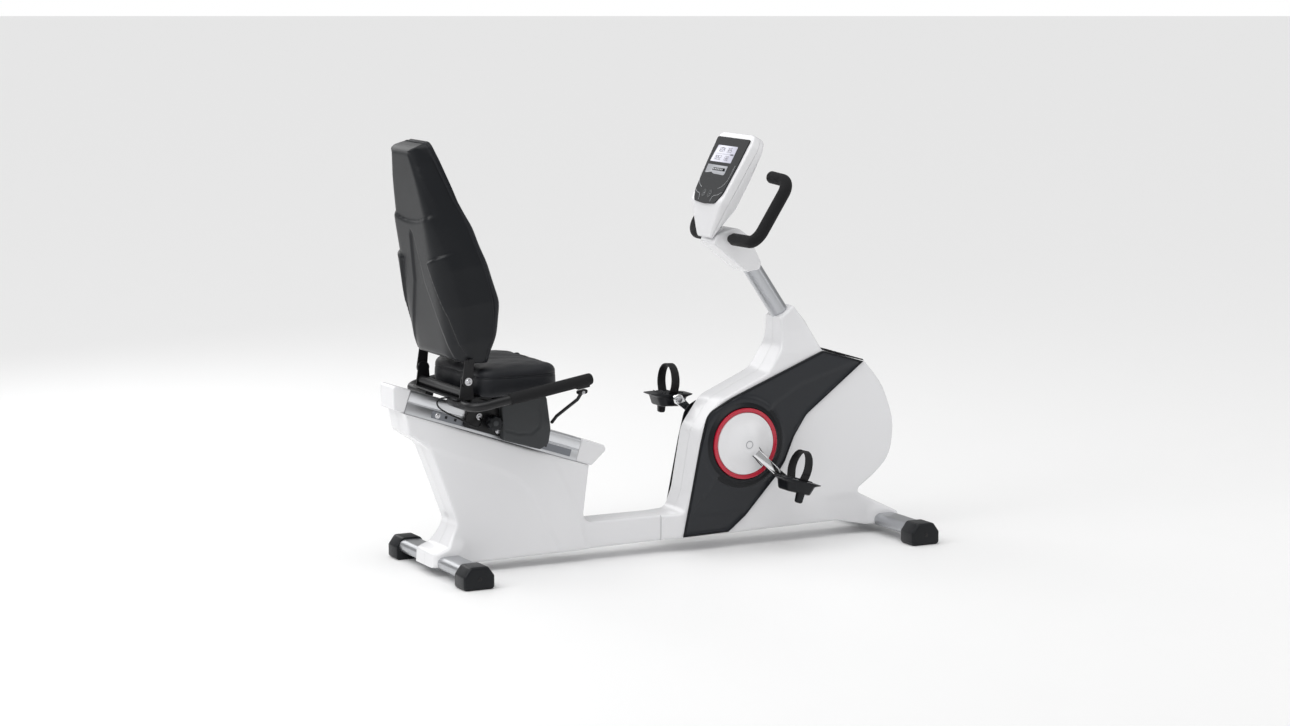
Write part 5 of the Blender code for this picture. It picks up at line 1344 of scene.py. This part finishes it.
def add_backrest():
    """The shell with its stepped panels, the padded front and the piping between them."""
    outline = back_outline()
    at = {"origin": HINGE, "tilt": BACKREST_LEAN}
    middle = -0.026
    inner_v = [(0.004, 0.430), (0.031, 0.2865), (0.105, 0.135), (0.132, 0.060)]
    outer_v = [(0.092, 0.345), (0.145, 0.191), (0.168, 0.060)]
    top_step = [(0.010, 0.405), (0.085, 0.357), (0.20, 0.392)]

    def shell_height(points, distances):
        y, z = np.abs(points[:, 0]), points[:, 1]
        folded = np.stack([y, z], axis=1)
        split = soft_table(BACK_SPLIT, z)
        across = np.interp(
            z, [row[0] for row in BACK_HALF] + [0.695], [row[1] for row in BACK_HALF] + [0.088]
        ) - y
        nearest = np.minimum(np.minimum(across, (z - 0.042) * 3.0), (0.695 - z) * 2.0)
        round_over = np.interp(z, [0.10, 0.33, 0.47, 0.60], [0.150, 0.130, 0.075, 0.050])
        level = np.clip(1.0 - np.maximum(nearest, 0.0) / round_over, 0.0, 1.0) ** 4.0
        depth = -(middle + (split - middle) * level)
        calm = step_up(distances - 0.014, 0.012)
        depth = depth + calm * 0.0050 * step_up(beside(folded, inner_v), 0.012)
        depth = depth + calm * 0.0095 * step_up(beside(folded, outer_v), 0.009) * step_up(
            -beside(folded, top_step), 0.009
        )
        depth = depth - 0.0030 * np.exp(-((distances - 0.021) / 0.0030) ** 2)
        head = z - (0.469 + 0.028 * (y / 0.15) ** 2)
        depth = depth - calm * 0.0060 * step_up(head, 0.005)
        groove = np.exp(-(head / 0.0035) ** 2) * calm
        return depth - 0.0030 * groove

    edge = [(0.0, 0.0), (0.0015, 0.0), (0.0035, 0.0), (0.006, 0.0), (0.009, 0.0), (0.013, 0.0)]
    verts, faces = skin(outline, edge, shell_height, 0.0, 0.0048)
    base_ring = np.abs(verts[:, 2]) < 1e-12
    x = np.where(base_ring, soft_table(BACK_SPLIT, verts[:, 1]) + 0.0010, -verts[:, 2])
    placed = np.stack([x, verts[:, 0], verts[:, 1]], axis=1)
    piece(
        "backrest_shell_look", placed, faces, "black_plastic", "backrest", ["backrest_shell"], sharp=60.0,
        **at
    )

    def pad_height(points, distances):
        y, z = np.abs(points[:, 0]), points[:, 1]
        front = soft_table(BACK_FRONT, z)
        seam = np.exp(-((z - 0.480) / 0.0050) ** 2) + np.exp(-((z - 0.215) / 0.0050) ** 2)
        seam = seam * step_up(distances - 0.012, 0.008)
        wing = 0.010 * step_up(y - 0.075, 0.085) * step_up(0.42 - z, 0.15)
        crown = 0.006 * (1.0 - np.exp(-distances / 0.030))
        side_seam = np.exp(-((distances - 0.040) / 0.0035) ** 2)
        return front - 0.012 + crown + wing * 0.4 - 0.0030 * seam - 0.0020 * side_seam

    pad_edge = [
        (0.0, 0.016), (-0.0008, 0.011), (0.0006, 0.0072), (0.0034, 0.0042), (0.0080, 0.0018),
        (0.0130, 0.0005), (0.0190, 0.0)
    ]
    verts, faces = skin(outline, pad_edge, pad_height, 0.0, 0.0070)
    base_ring = np.abs(verts[:, 2]) < 1e-12
    x = np.where(base_ring, soft_table(BACK_SPLIT, verts[:, 1]) + 0.0008, verts[:, 2])
    y = np.where(base_ring, verts[:, 0] * 0.97, verts[:, 0])
    placed = np.stack([x, y, verts[:, 1]], axis=1)
    pad = piece(
        "backrest_pad_look", placed, faces, "leatherette", "backrest", ["backrest_pad"], sharp=70.0, **at
    )
    fold(pad, 0.0008, 22.0)
    route = [(float(soft_table(BACK_SPLIT, z)) + 0.0012, a, z) for a, z in inset(outline, 0.0006)]
    bead(posed(route, HINGE, BACKREST_LEAN).tolist(), 0.0018, "backrest_piping", "backrest")


# ---------------------------------------------------------------- stage
def add_stage():
    """Floor, studio light and the camera."""
    mesh = bpy.data.meshes.new("floor")
    wide = 60.0
    mesh.from_pydata(
        [(-wide, -wide, -0.0006), (wide, -wide, -0.0006), (wide, wide, -0.0006), (-wide, wide, -0.0006)], [],
        [(0, 1, 2, 3)]
    )
    mesh.materials.append(new_finish("floor_pale", (0.90, 0.90, 0.90), 0.55, tint=0.004, bump=0.0))
    floor = bpy.data.objects.new("floor", mesh)
    bpy.context.scene.collection.objects.link(floor)
    world = bpy.data.worlds.new("studio")
    bpy.context.scene.world = world
    world.use_nodes = True
    sky = world.node_tree
    seen = sky.nodes.new("ShaderNodeLightPath")
    strength = sky.nodes.new("ShaderNodeMapRange")
    strength.inputs["To Min"].default_value = 0.37
    strength.inputs["To Max"].default_value = 1.0
    sky.links.new(seen.outputs["Is Camera Ray"], strength.inputs["Value"])
    sky.links.new(strength.outputs["Result"], sky.nodes["Background"].inputs["Strength"])
    sky.nodes["Background"].inputs["Color"].default_value = (1.0, 1.0, 1.0, 1.0)
    bpy.context.scene.view_settings.view_transform = "Standard"
    lights = (
        ("key", (-3.6, -0.6, 3.0), 2.0, 46.0), ("fill", (3.6, -3.0, 2.0), 2.2, 16.0),
        ("back", (-1.0, 3.6, 2.6), 2.4, 30.0),
    )
    for name, place, size, power in lights:
        data = bpy.data.lights.new(name, "AREA")
        data.size = size
        data.energy = power
        lamp = bpy.data.objects.new(name, data)
        lamp.location = place
        lamp.rotation_euler = (Vector((0.0, 0.0, 0.5)) - Vector(place)).to_track_quat("-Z", "Y").to_euler()
        bpy.context.scene.collection.objects.link(lamp)
    overhead = bpy.data.lights.new("overhead", "SUN")
    overhead.energy = 1.95
    overhead.angle = math.radians(75.0)
    sun = bpy.data.objects.new("overhead", overhead)
    sun.rotation_euler = (math.radians(8.0), math.radians(-14.0), 0.0)
    bpy.context.scene.collection.objects.link(sun)
    view = bpy.data.cameras.new("photo")
    view.lens = CAMERA_LENS
    view.sensor_width = 36.0
    view.clip_end = 60.0
    camera = bpy.data.objects.new("photo", view)
    camera.location = CAMERA_PLACE
    aim = Vector(CAMERA_AIM) - camera.location
    camera.rotation_euler = aim.to_track_quat("-Z", "Y").to_euler()
    bpy.context.scene.collection.objects.link(camera)
    bpy.context.scene.camera = camera


add_covers()
add_accents()
add_crank()
add_pedals()
add_feet()
add_rail()
add_carriage()
add_seat_frame()
add_neck()
add_handlebar()
add_console()
add_cushion()
add_backrest()
add_stage()

bpy.context.view_layer.update()
